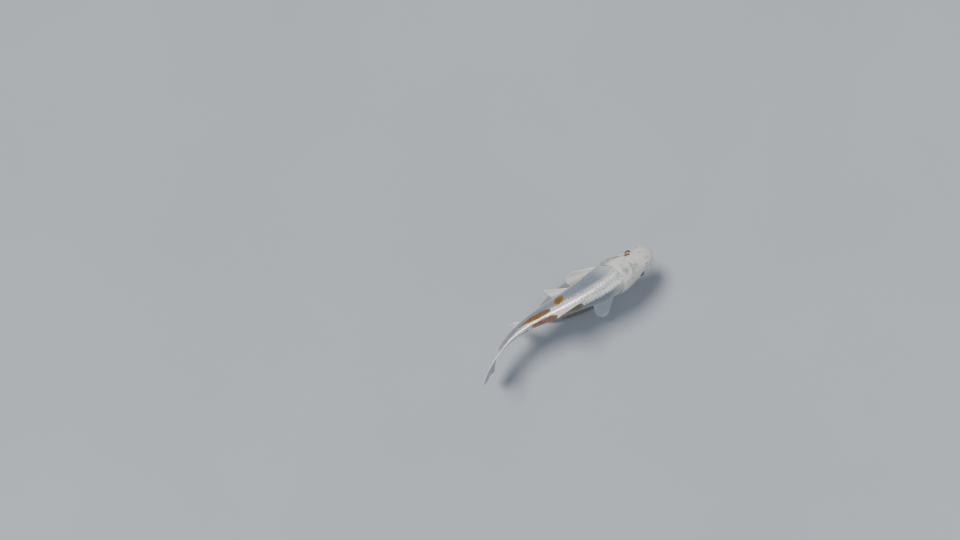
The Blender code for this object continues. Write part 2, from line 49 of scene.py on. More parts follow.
# ================================================================== the fish's form (mm, straight fish: x left, s back, z up)
TOTAL_LENGTH, STEM_END, AXIS_HEIGHT, BANK_DEG = 350.0, 292.0, 90.0, 8.0
HEAD_BANK_DEG, HEAD_BANK_FROM, HEAD_BANK_TO = 0.0, 40.0, 112.0
HEAD_TURN_DEG, HEAD_TURN_FROM, HEAD_TURN_TO = 6.8, 32.0, 150.0
TAIL_SWEEP_DEG, TAIL_SWEEP_FROM, TAIL_SWEEP_TO = 34.7, 193.0, 336.0
STATIONS = [
    (0.0, 14.6, 9.2, -7.8, -1.5, 2.15, 2.20),
    (12.0, 16.2, 13.8, -12.8, -2.0, 2.20, 2.25),
    (24.0, 19.2, 19.4, -16.6, -2.5, 2.30, 2.30),
    (38.0, 22.8, 25.4, -21.2, -3.0, 2.35, 2.35),
    (54.0, 27.1, 31.0, -26.2, -3.5, 2.30, 2.35),
    (68.0, 29.3, 34.6, -29.6, -3.5, 2.20, 2.30),
    (84.0, 28.0, 37.2, -32.4, -2.5, 2.10, 2.25),
    (105.0, 25.6, 39.2, -34.8, -0.5, 2.00, 2.20),
    (128.0, 22.2, 39.8, -36.0, 1.5, 1.92, 2.15),
    (155.0, 18.2, 37.8, -35.2, 2.0, 1.90, 2.10),
    (182.0, 15.0, 33.6, -31.4, 1.5, 1.90, 2.05),
    (208.0, 12.0, 28.2, -26.2, 1.0, 1.92, 2.00),
    (232.0, 9.2, 22.8, -20.4, 0.5, 1.95, 2.00),
    (255.0, 6.5, 18.6, -16.6, 0.2, 2.00, 2.00),
    (275.0, 4.4, 16.6, -15.4, 0.0, 2.05, 2.05),
    (292.0, 2.0, 16.6, -16.0, 0.0, 2.10, 2.10),
]
SNOUT_ROUND, HEAD_LENGTH, MOUTH_HALF = 14.0, 82.0, 11.0
EYE_S, EYE_Z = 34.0, 6.5
EYE_R, EYE_BULGE_R, EYE_SUNK = 5.8, 4.8, 1.6
CAUDAL_UPRIGHT, CAUDAL_TWIST, CAUDAL_CUP = 6.5, 17.0, 3.0
BASE_THICK, BASE_HALF_LENGTH, BASE_HALF_WIDTH, BASE_TAPER = 9.0, 72.0, 30.0, 0.20
BASE_CENTRE_S, BASE_SHIFT_X = 134.0, 4.0


def spline(knots, values):
    x, y = np.asarray(knots, float), np.asarray(values, float)
    n, h = len(x), np.diff(x)
    a, r = np.eye(n), np.zeros(n)
    for i in range(1, n - 1):
        a[i, i - 1: i + 2] = h[i - 1], 2 * (h[i - 1] + h[i]), h[i]
        r[i] = 6 * ((y[i + 1] - y[i]) / h[i] - (y[i] - y[i - 1]) / h[i - 1])
    m = np.linalg.solve(a, r)

    def at(q):
        q = np.clip(np.asarray(q, float), x[0], x[-1])
        i = np.clip(np.searchsorted(x, q, "right") - 1, 0, n - 2)
        t0, t1, hi = x[i + 1] - q, q - x[i], h[i]
        return (m[i] * t0 ** 3 + m[i + 1] * t1 ** 3) / (6 * hi) + (
            y[i] / hi - m[i] * hi / 6) * t0 + (y[i + 1] / hi - m[i + 1] * hi / 6) * t1

    return at


def smooth(q, lo, hi):
    t = np.clip((np.asarray(q, float) - lo) / (np.asarray(hi, float) - lo), 0, 1)
    return t * t * (3 - 2 * t)


def bell(q, width):
    return np.exp(-(np.asarray(q, float) / width) ** 2)


_columns = list(zip(*STATIONS))
half_width, top, bottom, wide_z, n_up, n_down = (spline(_columns[0], c) for c in _columns[1:])


def snout(s):
    return np.sqrt(np.clip(1 - (1 - np.clip(s / SNOUT_ROUND, 0, 1)) ** 2, 0, 1))


def section(s, phi, grow=0.0):
    s, phi = np.broadcast_arrays(np.asarray(s, float), np.asarray(phi, float))
    f, c, q = snout(s), np.cos(phi), np.sin(phi)
    up = c >= 0
    power = 2 / np.where(up, n_up(s), n_down(s))
    reach = np.where(up, top(s) - wide_z(s), wide_z(s) - bottom(s))
    x = (half_width(s) * f + grow) * np.sign(q) * np.abs(q) ** power
    z = wide_z(s) + (reach * f + grow) * np.sign(c) * np.abs(c) ** power
    return x, z


def polar(p):
    """Station, phi in degrees (+ is the left side) and how far out of the body, mm, for straight-fish points."""
    x, s, z = p[:, 0], np.clip(p[:, 1], 0.4, STEM_END), p[:, 2]
    f = snout(s)
    up = z >= wide_z(s)
    power = np.where(up, n_up(s), n_down(s))
    reach = np.where(up, top(s) - wide_z(s), wide_z(s) - bottom(s)) * f
    u, v = np.abs(x) / (half_width(s) * f), np.abs(z - wide_z(s)) / reach
    rho = (u ** power + v ** power) ** (1 / power)
    phi = np.degrees(np.arctan2((u / rho) ** (power / 2), np.where(up, 1, -1) * (v / rho) ** (power / 2)))
    out = (1 - 1 / np.maximum(rho, 1e-3)) * np.hypot(x, z - wide_z(s))
    return p[:, 1], np.sign(x) * phi, out


def face_s(x, z):
    s = np.linspace(0.0, 24.0, 481)[1:]
    f = snout(s)
    reach = np.where(z >= wide_z(s), top(s) - wide_z(s), wide_z(s) - bottom(s)) * f
    power = np.where(z >= wide_z(s), n_up(s), n_down(s))
    inside = (abs(x) / (half_width(s) * f)) ** power + (np.abs(z - wide_z(s)) / reach) ** power <= 1
    return float(s[np.argmax(inside)])


_ds = 0.25
_grid = np.arange(-40.0, TOTAL_LENGTH + 60.0, _ds)


def spine_angle(s):
    return np.radians(HEAD_TURN_DEG * (1 - smooth(s, HEAD_TURN_FROM, HEAD_TURN_TO))
                      + TAIL_SWEEP_DEG * smooth(s, TAIL_SWEEP_FROM, TAIL_SWEEP_TO))


_px = np.cumsum(-np.sin(spine_angle(_grid))) * _ds
_py = np.cumsum(np.cos(spine_angle(_grid))) * _ds


def posed(points):
    """Straight-fish points, mm, to the display pose, m."""
    p = np.asarray(points, float).reshape(-1, 3)
    x, s, z = p.T
    a = spine_angle(s)
    mid_x, mid_y = np.interp(BASE_CENTRE_S, _grid, _px), np.interp(BASE_CENTRE_S, _grid, _py)
    spine_x, across = np.interp(s, _grid, _px) - mid_x, x * np.cos(a)
    wy = np.interp(s, _grid, _py) - mid_y + x * np.sin(a)
    lean = math.radians(BANK_DEG)
    b = np.radians(HEAD_BANK_DEG + (BANK_DEG - HEAD_BANK_DEG) * smooth(s, HEAD_BANK_FROM, HEAD_BANK_TO))
    out = np.stack([spine_x * math.cos(lean) + across * np.cos(b) - z * np.sin(b) + BASE_SHIFT_X, wy,
                    spine_x * math.sin(lean) + across * np.sin(b) + z * np.cos(b) + AXIS_HEIGHT], 1)
    return out / 1000.0


def gill_line(phi):
    side = np.abs(np.sin(phi))
    low = np.clip(-np.cos(phi), 0, 1)
    high = np.clip(np.cos(phi), 0, 1)
    return HEAD_LENGTH - 19.5 * high ** 1.8 - 19.0 * low ** 1.9 - 1.5 * (1 - side)


def unit(v):
    v = np.asarray(v, float)
    return v / np.linalg.norm(v)


def eye_centre(side):
    phis = np.linspace(0.3, math.pi / 2, 200)
    x, z = section(np.full(200, EYE_S), phis)
    return np.array([side * (np.interp(EYE_Z, z[::-1], x[::-1]) - EYE_SUNK), EYE_S, EYE_Z])


# ================================================================== mesh helpers
def mesh_object(name, points, faces):
    me = bpy.data.meshes.new(name)
    me.from_pydata(np.asarray(points, float).tolist(), [], [list(map(int, f)) for f in faces])
    me.update()
    ob = bpy.data.objects.new(name, me)
    bpy.context.scene.collection.objects.link(ob)
    return ob


def get_points(me):
    co = np.empty(len(me.vertices) * 3)
    me.vertices.foreach_get("co", co)
    return co.reshape(-1, 3)


def set_points(me, p):
    me.vertices.foreach_set("co", np.asarray(p, float).ravel())
    me.update()


def put(me, name, values, kind="FLOAT"):
    at = me.attributes.get(name) or me.attributes.new(name, kind, "POINT")
    at.data.foreach_set("vector" if kind == "FLOAT_VECTOR" else "value", np.asarray(values, np.float32).ravel())


def tube(rings, start=None, end=None):
    rings = np.asarray(rings, float)
    n, m = rings.shape[:2]
    pts = [tuple(p) for r in rings for p in r]
    faces = [(i * m + j, i * m + (j + 1) % m, (i + 1) * m + (j + 1) % m, (i + 1) * m + j)
             for i in range(n - 1) for j in range(m)]
    for k, tip in ((0, start), (n - 1, end)):
        c = len(pts)
        pts.append(tuple(rings[k].mean(0) if tip is None else tip))
        faces += [(k * m + (j + 1) % m, k * m + j, c) if k == 0 else (k * m + j, k * m + (j + 1) % m, c)
                  for j in range(m)]
    return pts, faces


def outward(ob):
    bm = bmesh.new()
    bm.from_mesh(ob.data)
    bmesh.ops.recalc_face_normals(bm, faces=bm.faces)
    bm.to_mesh(ob.data)
    bm.free()


# ================================================================== fins
def lengths(knots, values, longest):
    f = spline(knots, values)
    return lambda a: longest * f(a)


def frayed(a, r, rays, depth):
    """Fin margin: each ray's tip stands a little past the membrane, with a slow uneven wander."""
    tip = np.abs(np.cos(math.pi * rays * a)) ** 0.8
    wander = 0.45 * np.sin(13.1 * a + 1.0) + 0.35 * np.sin(31.7 * a + 2.0)
    return 1 + (0.5 * depth * (tip - 0.6) + 0.012 * wander) * r ** 3


def dorsal_ray(a, r):
    length = lengths([0, .06, .15, .26, .42, .7, 1], [.80, 1.0, .88, .54, .32, .21, .15], 50.0)(a)
    length = length * frayed(a, r, 20, 0.035)
    s0 = 133.0 + 100.0 * a
    rise = np.radians(33.0 - 9.0 * a)
    back, up = length * r * np.cos(rise), length * r * np.sin(rise)
    up = up - 2.4 * r * r * (1 - a)
    fold = 0.9 * np.sin(2 * math.pi * 5.0 * a + 0.5) * r ** 1.3
    lean = -0.05 + 0.50 * smooth(a, 0.30, 0.60)
    return np.stack([lean * up - 0.6 * np.sin(9.0 * a) * r + fold * (1 - 0.5 * a), s0 + back, top(s0) - 1.2 + up], -1)


def anal_ray(a, r):
    length = lengths([0, .05, .12, .24, .42, .7, 1], [.74, .92, 1.0, .78, .46, .33, .24], 46.0)(a) * frayed(a, r, 8, 0.03)
    s0 = 222.0 + 21.0 * a
    drop_ = np.radians(45.0 - 12.0 * a)
    back, down = length * r * np.cos(drop_), length * r * np.sin(drop_)
    return np.stack([5.5 * r ** 1.7 + 0.5 * np.sin(9 * a) * r, s0 + back, bottom(s0) + 1.2 - down], -1)


def caudal_ray(a, r):
    k = 2 * a - 1
    length = lengths([0, .06, .2, .35, .5, .65, .8, .94, 1],
                     [.985, 1.0, .86, .66, .545, .66, .86, 1.0, .985], 64.0)(a) * frayed(a, r, 18, 0.02)
    spread = np.radians(-26.0 * k) * (1 - 0.10 * r)
    z0 = -15.0 * k
    s0 = STEM_END - 3.0 - 1.5 * k * k
    out = length * r
    aside = (CAUDAL_UPRIGHT * r * (1 - 0.75 * r ** 3) * (1 - k) / 2
             - CAUDAL_TWIST * r ** 1.25 * (k + 1) / 2 - CAUDAL_CUP * r ** 1.6 * (1 - k * k))
    aside = aside + 0.7 * np.sin(2 * math.pi * 4.2 * a) * r ** 1.5
    return np.stack([aside, s0 + out * np.cos(spread), z0 + out * np.sin(spread)], -1)


def paired(root, base, middle, across, longest, shape, fan, camber, side, rays):
    er = unit(middle)
    ew = unit(np.asarray(across, float) - er * np.dot(across, er))
    en = np.cross(er, ew)
    f = lengths(*shape, longest)

    def ray(a, r):
        a, r = np.broadcast_arrays(np.asarray(a, float), np.asarray(r, float))
        turn = np.radians(fan[0] + (fan[1] - fan[0]) * a)
        turn = turn * (1 + 0.12 * r)
        out = f(a) * r * frayed(a, r, rays, 0.025)
        p = np.asarray(root)
        p = p + ew * ((a - 0.5) * base)[..., None]
        p = p + er * (out * np.cos(turn) - 3.0)[..., None] + ew * (out * np.sin(turn))[..., None]
        ripple = 0.5 * np.sin(2 * math.pi * 2.6 * a + 0.8) * r ** 1.5
        p = p + en * (camber * r * r * (0.6 + 0.4 * np.cos(math.pi * (a - 0.4))) + ripple)[..., None]
        return p * np.array([side, 1, 1])

    return ray


PECTORAL_SHAPE = ([0, .05, .13, .26, .42, .6, .78, .92, 1], [.72, .83, .92, .985, 1.0, .945, .83, .69, .54])
PELVIC_SHAPE = ([0, .08, .3, .55, .8, 1], [.97, 1.0, .91, .79, .66, .52])
pectoral_left = paired((19.0, 84.0, -20.5), 12.0, (9.5, 57, -9), (-21, -2, -13), 62.0,
                       PECTORAL_SHAPE, (-9, 26), 2.5, 1, 15)
pectoral_right = paired((19.0, 84.0, -20.5), 12.0, (32, 39, -24), (-14, 18, -12), 59.0,
                        PECTORAL_SHAPE, (-10, 13.5), -2.5, -1, 15)
pelvic_left = paired((8.8, 142.0, -31.3), 8.5, (10.5, 42, -11), (-16, 6, -8), 46.0,
                     PELVIC_SHAPE, (-8, 20), 1.5, 1, 9)
pelvic_right = paired((8.8, 142.0, -31.3), 8.0, (8, 42, -18), (-14, 4, -9), 44.0,
                      PELVIC_SHAPE, (-8, 13), 1.5, -1, 9)


def ray_relief(a, r, rays):
    """0 between rays, 1 on a ray; each ray forks towards the margin."""
    one = np.abs(np.cos(math.pi * rays * a)) ** 3
    two = np.abs(np.cos(2 * math.pi * rays * a)) ** 2
    fork = smooth(r, 0.45, 0.75)
    return one * (1 - fork) + two * fork * 0.7


def fin_mesh(name, ray, rays, root_t, edge_t, lead, count, relief=0.17):
    """A closed plate whose rays stand out on both faces."""
    aa = np.linspace(0, 1, count[0])
    rr = np.linspace(0, 1, count[1]) ** 1.05
    a, r = np.meshgrid(aa, rr, indexing="ij")
    mid = np.array([ray(np.full(count[1], q), rr) for q in aa])
    da, dr = np.gradient(mid, axis=0), np.gradient(mid, axis=1)
    nrm = np.cross(da, dr)
    nrm /= np.linalg.norm(nrm, axis=2, keepdims=True) + 1e-12
    body = edge_t + (root_t - edge_t) * (1 - r) ** 1.6 + lead * bell(a, 0.05)
    t = (body - 0.25 + relief * ray_relief(a, r, rays) * (1 - 0.6 * r))
    edge = np.minimum(np.minimum(a, 1 - a) * count[0] / 1.5, (1 - r) * count[1] / 1.5)
    t = t * np.clip(0.45 + 0.55 * edge, 0.45, 1)
    t = t[..., None] / 2
    n, m = count
    pts = np.concatenate([(mid + nrm * t).reshape(-1, 3), (mid - nrm * t).reshape(-1, 3)])
    o, faces = n * m, []
    for i in range(n - 1):
        for j in range(m - 1):
            q = i * m + j
            faces += [(q, q + 1, q + m + 1, q + m), (o + q, o + q + m, o + q + m + 1, o + q + 1)]
    rim = ([i * m for i in range(n)] + [(n - 1) * m + j for j in range(1, m)]
           + [i * m + m - 1 for i in range(n - 2, -1, -1)] + [j for j in range(m - 2, 0, -1)])
    for k, q in enumerate(rim):
        w = rim[(k + 1) % len(rim)]
        faces.append((q, w, o + w, o + q))
    ob = mesh_object(name, pts, faces)
    outward(ob)
    info = np.stack([np.tile(a.ravel(), 2), np.tile(r.ravel(), 2), np.full(2 * n * m, float(rays))], 1)
    return ob, pts, info


# ================================================================== barbels and lips
def barbel(root, lead, tip, r0, r1, side, count=26, seg=14):
    p0, p1, p2 = (np.asarray(p, float) * (side, 1, 1) for p in (root, lead, tip))
    rings = []
    for t in np.linspace(0, 1, count):
        c = p0 * (1 - t) ** 2 + p1 * 2 * t * (1 - t) + p2 * t * t
        d = unit(2 * (1 - t) * (p1 - p0) + 2 * t * (p2 - p1))
        u = unit(np.cross(d, (0, 0, 1)))
        v = np.cross(d, u)
        q = np.arange(seg) / seg * 2 * math.pi
        rad = (r0 + (r1 - r0) * t ** 0.8) * (1 + 0.035 * math.sin(t * 60)) * (1 + 0.35 * math.exp(-(t / 0.12) ** 2))
        rings.append(c + rad * (np.cos(q)[:, None] * u + np.sin(q)[:, None] * v))
    return tube(rings, end=p2 + unit(p2 - p1) * r1)


def lip(z_mid, z_corner, half, r_mid, r_end, count=60, seg=20):
    xs = half * np.sin(np.linspace(-math.pi / 2, math.pi / 2, count))
    zs = z_mid + (z_corner - z_mid) * (xs / half) ** 2
    path = np.array([(x, face_s(x, z) - 0.2, z) for x, z in zip(xs, zs)])
    for _ in range(12):
        path[:, 1] = np.convolve(np.pad(path[:, 1], 1, "edge"), (0.25, 0.5, 0.25), "valid")
    along = np.gradient(path, axis=0)
    rings = []
    for p, d, x in zip(path, along, xs):
        d = unit(d)
        u = unit(np.cross(d, (0, 0, 1)))
        v = np.cross(u, d)
        q = np.arange(seg) / seg * 2 * math.pi
        rad = r_end + (r_mid - r_end) * (1 - (x / half) ** 2)
        rings.append(p + rad * (np.cos(q)[:, None] * u + 0.85 * np.sin(q)[:, None] * v))
    return tube(rings)


# ================================================================== the skin of the body
PHASES = 208
NOSTRILS = [(16.2, 10.2, 1.2, 1.0), (19.4, 11.0, 1.7, 1.4)]   # station, x, length, width of each opening


def body_rings():
    """Rings of stations: upright ones on the face and trunk, bent to the gill cover's rear edge where they pass it."""
    head = np.linspace(0.0, 1.0, 112) ** 1.3 * (HEAD_LENGTH - 1.6) + 0.12
    edge = HEAD_LENGTH + np.array([-1.1, -0.75, -0.45, -0.2, 0.0, 0.2, 0.45, 0.75, 1.1, 1.6])
    trunk = np.linspace(HEAD_LENGTH + 2.3, STEM_END, 166)
    s = np.concatenate([head, edge, trunk])
    phi = np.arange(PHASES) / PHASES * 2 * math.pi
    pull = np.where(s < HEAD_LENGTH, smooth(s, HEAD_LENGTH - 44, HEAD_LENGTH - 1.2),
                    1 - smooth(s, HEAD_LENGTH + 1.7, HEAD_LENGTH + 46))
    return s[:, None] + pull[:, None] * (gill_line(phi) - HEAD_LENGTH)[None, :], np.broadcast_to(phi, (len(s), PHASES))


PORE_LINES = [
    [(17, 30), (24, 40), (32, 49), (42, 53), (52, 54), (62, 57)],
    [(21, 66), (25, 84), (33, 95), (42, 93), (50, 84), (57, 72)],
    [(12, 122), (24, 127), (38, 127), (48, 118), (53, 102), (54, 86)],
]


def pores():
    out = []
    for line in PORE_LINES:
        pts = np.array(line, float)
        pts[:, 1] *= 0.42
        step = np.r_[0, np.cumsum(np.linalg.norm(np.diff(pts, axis=0), axis=1))]
        for t in np.arange(0.5, step[-1], 2.9):
            out.append((np.interp(t, step, pts[:, 0]), np.interp(t, step, pts[:, 1]) / 0.42))
    return out


def relief_on_body(P, nrm):
    """Moves the body's points along their normals by the head's and flank's folds; also gives how much painted shade
    lies in each hollow.
    """
    s, phi_deg, _ = polar(P)
    phi = np.radians(np.abs(phi_deg))
    move = np.zeros(len(P))
    hollow_shade = np.zeros(len(P))
    # gill cover: it lifts towards its rear edge and steps down to the shoulder
    d = s - gill_line(phi)
    on_side = smooth(phi_deg.__abs__(), 38, 62)
    flap = np.where(d < 0, 0.95 * np.exp(np.minimum(d, 0) / 9.0), -0.75 * np.exp(-np.maximum(d, 0) / 3.2))
    step = smooth(d, -0.25, 0.35)
    flap = 0.95 * np.exp(np.minimum(d, 0) / 9.0) * (1 - step) - 0.85 * np.exp(-np.maximum(d, 0) / 3.2) * step
    move += flap * (0.16 + 0.84 * on_side)
    hollow_shade += bell(d - 0.55, 0.6) * (0.08 + 0.92 * on_side)
    # fore edge of the gill cover and the cheek's fold
    fore = gill_line(phi) - 28.0 + 4.0 * bell(phi_deg.__abs__() - 95, 30)
    d2 = s - fore
    band = smooth(phi_deg.__abs__(), 66, 80) * (1 - smooth(phi_deg.__abs__(), 128, 150))
    move += (-0.45 * bell(d2, 0.9) + 0.30 * bell(d2 + 2.4, 1.8)) * band
    hollow_shade += 0.25 * bell(d2, 0.8) * band
    # opercle and subopercle meet in a faint slanting seam
    d3 = (phi_deg.__abs__() - 116) * 0.5 - (s - 66) * 0.25
    on_cover = smooth(d2, 1, 4) * (1 - smooth(d, -5, -1)) * band
    move += -0.28 * bell(d3, 0.7) * on_cover
    for ps, pw in pores():
        q = np.hypot(s - ps, (np.abs(phi_deg) - pw) * 0.42)
        move += -0.22 * bell(q, 0.75) + 0.06 * bell(q - 1.3, 0.5)
        hollow_shade += 0.30 * bell(q, 0.55)
    fan = np.arctan2((np.abs(phi_deg) - 72) * 0.46, s - 46)
    move += 0.055 * np.sin(fan * 44) * smooth(d2, 2, 6) * (1 - smooth(d, -2.5, -0.5)) * band
    # brow and the hollow in front of the eye
    for side in (1, -1):
        c = eye_centre(side)
        g = unit((side * 1.0, -0.22, 0.22))
        v = P - c
        along = v @ g
        rad = np.linalg.norm(v - along[:, None] * g, axis=1)
        near = along > -3.0
        move += np.where(near, 0.75 * bell(rad - 7.9, 1.5) - 0.55 * bell(rad - 6.25, 0.55) - 1.6 * (1 - smooth(rad, 4.0, 6.0)), 0)
        hollow_shade += np.where(near, 0.75 * bell(rad - 6.2, 0.5), 0)
        ahead = np.hypot(s - 23.5, (P[:, 2] - 1.5) * 0.8) + np.where(P[:, 0] * side > 0, 0, 50)
        move += -0.55 * bell(ahead, 5.0)
        # nostrils: two openings with a flap of skin between them
        for k, (ns, nx, nl, nw) in enumerate(NOSTRILS):
            e = np.hypot((s - ns) / nl, (P[:, 0] - side * nx) / nw) + np.where(P[:, 2] > 0, 0, 50)
            move += -1.25 * bell(e, 0.85) + 0.35 * bell(e - 1.55, 0.5)
            hollow_shade += 1.0 * bell(e, 0.75)
        flapd = np.hypot((s - 17.8) / 0.55, (P[:, 0] - side * 10.6) / 1.8) + np.where(P[:, 2] > 0, 0, 50)
        move += 0.65 * bell(flapd, 0.9)
    # mouth: a groove round the lips and between them
    xs = P[:, 0]
    span = np.clip(np.abs(xs) / (MOUTH_HALF + 0.6), 0, 1)
    inside = (np.abs(xs) < MOUTH_HALF + 1.5) & (s < 15)
    slit = -6.55 - 3.5 * span ** 2
    g1 = P[:, 2] - slit
    move += np.where(inside, -1.3 * bell(g1, 1.0), 0)
    hollow_shade += np.where(inside, 1.0 * bell(g1, 0.75), 0)
    over = -1.35 - 6.6 * span ** 2.2
    move += np.where(inside, -0.55 * bell(P[:, 2] - over, 0.7), 0)
    hollow_shade += np.where(inside, 0.30 * bell(P[:, 2] - over, 0.6), 0)
    # folds from the mouth's corners under the cheek and along the throat
    for side in (1, -1):
        t = np.clip((s - 9.0) / 34.0, 0, 1)
        line_phi = 122 + 24 * t
        dd = (phi_deg * side - line_phi) * 0.32
        on = smooth(s, 8, 12) * (1 - smooth(s, 40, 50))
        move += -0.38 * bell(dd, 0.8) * on
        hollow_shade += 0.16 * bell(dd, 0.7) * on
    throat = smooth(s, 18, 24) * (1 - smooth(s, 44, 52))
    move += -0.4 * bell((180 - np.abs(phi_deg)) * 0.3, 1.0) * throat
    # crown: shallow ridges of the skull roof, and the nape's rise
    crown = smooth(s, 24, 34) * (1 - smooth(s, 50, 58)) * (np.abs(phi_deg) < 80)
    move += 0.22 * bell(phi_deg - 17, 5) * crown + 0.22 * bell(phi_deg + 17, 5) * crown
    # lateral line: a shallow groove with pores
    ll = (np.abs(phi_deg) - (84 + 5 * smooth(s, 80, 200))) * 0.42
    on = smooth(s, 78, 90) * (1 - smooth(s, 284, 291))
    move += (-0.28 * bell(ll, 0.9) + 0.12 * bell(np.abs(ll) - 1.8, 0.9)) * on
    hollow_shade += 0.20 * bell(ll, 0.45) * on
    # muscle blocks show faintly through the thin skin of the flank
    zz = (P[:, 2] - wide_z(np.clip(s, 0, STEM_END))) / 30.0
    chev = np.sin((s + 16 * np.abs(zz) - 9 * zz * zz) * 2 * math.pi / 6.2)
    move += 0.05 * chev * smooth(s, 95, 120) * (1 - smooth(s, 270, 286)) * (1 - bell(zz, 0.12))
    # keel in front of the anal fin, and the vent
    move += 0.5 * bell((180 - np.abs(phi_deg)) * 0.3, 1.6) * smooth(s, 150, 180) * (1 - smooth(s, 214, 222))
    vent = np.hypot((s - 217.5) / 1.6, P[:, 0] / 1.0) + np.where(P[:, 2] < 0, 0, 50)
    move += -1.1 * bell(vent, 0.9) + 0.5 * bell(vent - 1.7, 0.6)
    hollow_shade += 0.7 * bell(vent, 0.8)
    return P + nrm * move[:, None], np.clip(hollow_shade, 0, 1)


def make_body():
    S, F = body_rings()
    X, Z = section(S, F)
    P = np.stack([X, S, Z], -1)
    a = np.gradient(P, axis=0)
    b = np.roll(P, -1, axis=1) - np.roll(P, 1, axis=1)
    nrm = np.cross(a, b)
    nrm /= np.linalg.norm(nrm, axis=2, keepdims=True) + 1e-12
    centre = P.mean(axis=1, keepdims=True)
    flip = np.sign(((P - centre) * nrm).sum(2, keepdims=True).mean())
    nrm = nrm * flip
    flat, hollow_shade = relief_on_body(P.reshape(-1, 3), nrm.reshape(-1, 3))
    rings = flat.reshape(P.shape)
    pts, faces = tube(rings, start=(0, -0.05, -1.6), end=(0, STEM_END + 0.6, 0))
    ob = mesh_object("koi_skin", pts, faces)
    outward(ob)
    return ob, np.concatenate([hollow_shade, [0, 0]])


body, body_hollow_shade = make_body()
body_points = get_points(body.data).copy()

FINS = [
    ("dorsal", dorsal_ray, 20, 2.6, 0.8, 0.9, (110, 24)),
    ("anal", anal_ray, 8, 2.4, 0.8, 0.7, (44, 24)),
    ("caudal", caudal_ray, 18, 3.2, 0.8, 0.0, (108, 38)),
    ("pectoral_l", pectoral_left, 15, 4.2, 0.8, 0.5, (74, 34)),
    ("pectoral_r", pectoral_right, 15, 4.2, 0.8, 0.5, (74, 34)),
    ("pelvic_l", pelvic_left, 9, 3.4, 0.8, 0.5, (50, 28)),
    ("pelvic_r", pelvic_right, 9, 3.4, 0.8, 0.5, (50, 28)),
]
parts, fin_points, fin_info, fin_kind = [], [], [], []
for k, (name, ray, rays, root_t, edge_t, lead, count) in enumerate(FINS):
    ob, pts, info = fin_mesh(name, ray, rays, root_t, edge_t, lead, count)
    parts.append(ob)
    fin_points.append(pts)
    fin_info.append(info)
    fin_kind.append(np.full(len(pts), float(k)))
fin_points, fin_info, fin_kind = map(np.concatenate, (fin_points, fin_info, fin_kind))

soft_points, soft_kind = [], []
for side in (1, -1):
    for args in (((12.2, 11.5, -9.6), (21.0, 9.0, -11.5), (24.5, 13.5, -19.5), 1.15, 0.5),
                 ((10.5, 7.5, -1.5), (15.6, 4.5, -2.5), (17.4, 5.0, -8.5), 0.9, 0.45)):
        pts, faces = barbel(*args, side)
        ob = mesh_object("barbel", pts, faces)
        outward(ob)
        parts.append(ob)
        soft_points.append(np.asarray(pts))
        soft_kind.append(np.full(len(pts), 1.0))
for args in ((-4.3, -9.2, MOUTH_HALF, 2.6, 1.3), (-8.85, -10.7, MOUTH_HALF - 1.2, 2.15, 0.9)):
    pts, faces = lip(*args)
    ob = mesh_object("lip", pts, faces)
    outward(ob)
    parts.append(ob)
    soft_points.append(np.asarray(pts))
    soft_kind.append(np.full(len(pts), 2.0))
soft_points, soft_kind = np.concatenate(soft_points), np.concatenate(soft_kind)

# ------------------------------------------------------------------ one closed skin over body, fins, lips and feelers
for ob in parts:
    mod = body.modifiers.new("join", "BOOLEAN")
    mod.operation, mod.object, mod.solver = "UNION", ob, "MANIFOLD"
bpy.context.view_layer.update()
dg = bpy.context.evaluated_depsgraph_get()
joined = bpy.data.meshes.new_from_object(body.evaluated_get(dg))
body.modifiers.clear()
old, body.data = body.data, joined
bpy.data.meshes.remove(old)
for ob in parts:
    bpy.data.objects.remove(ob)
me = body.data
me.name = "koi_skin"


def tree_of(points):
    t = kdtree.KDTree(len(points))
    for i, p in enumerate(points):
        t.insert(p, i)
    t.balance()
    return t


P = get_points(me)
tb, tf, ts = tree_of(body_points), tree_of(fin_points), tree_of(soft_points)
near_b, near_f, near_s = (np.array([t.find(p)[1:] for p in P]) for t in (tb, tf, ts))
db, df, dsoft = near_b[:, 1], near_f[:, 1], near_s[:, 1]
on_joint = (np.minimum(np.minimum(db, df), dsoft) > 2e-4)
joint_tree = tree_of(P[on_joint]) if on_joint.any() else None
edges = np.empty(len(me.edges) * 2, np.int64)
me.edges.foreach_get("vertices", edges)
e0, e1 = edges.reshape(-1, 2).T
if joint_tree:
    dj = np.array([joint_tree.find(p)[2] for p in P])
    is_soft = (dsoft < np.minimum(db, df))
    weight = (1 - smooth(dj, 0.6, 3.2)) * 0.55
    deg = np.bincount(e0, minlength=len(P)) + np.bincount(e1, minlength=len(P))
    Q = P.copy()
    for _ in range(14):
        total = np.stack([np.bincount(e0, Q[e1, i], len(P)) + np.bincount(e1, Q[e0, i], len(P)) for i in range(3)], 1)
        Q += weight[:, None] * (total / np.maximum(deg, 1)[:, None] - Q)
    P = Q
is_fin = (df < np.minimum(db, dsoft) + 1e-9)
info = fin_info[near_f[:, 0].astype(int)]
kind = fin_kind[near_f[:, 0].astype(int)]
s_, phi_, out_ = polar(P)
fin_mask = np.where(df < 1.5, smooth(out_, 0.3, 3.5), 0.0)
caudal = (kind == 2) & (df < 1.5)
fringe = P[:, 1] + 7.0 * np.clip(np.abs(P[:, 2]) / 16.0, 0, 1.2) ** 2 + 1.5 * np.cos(2 * math.pi * info[:, 0] * 18)
fin_mask = np.where(caudal, smooth(fringe, 288.0, 308.0), fin_mask)
soft = np.where(dsoft < 1.2, 1.0, 0.0) * np.where(soft_kind[near_s[:, 0].astype(int)] > 1.5, 1.0, 0.6)
hollow_shade = body_hollow_shade[near_b[:, 0].astype(int)] * np.where(db < 1.5, 1.0, 0.0) * (1 - fin_mask) * np.where(dsoft < np.minimum(db, 0.6), 0.15, 1.0)


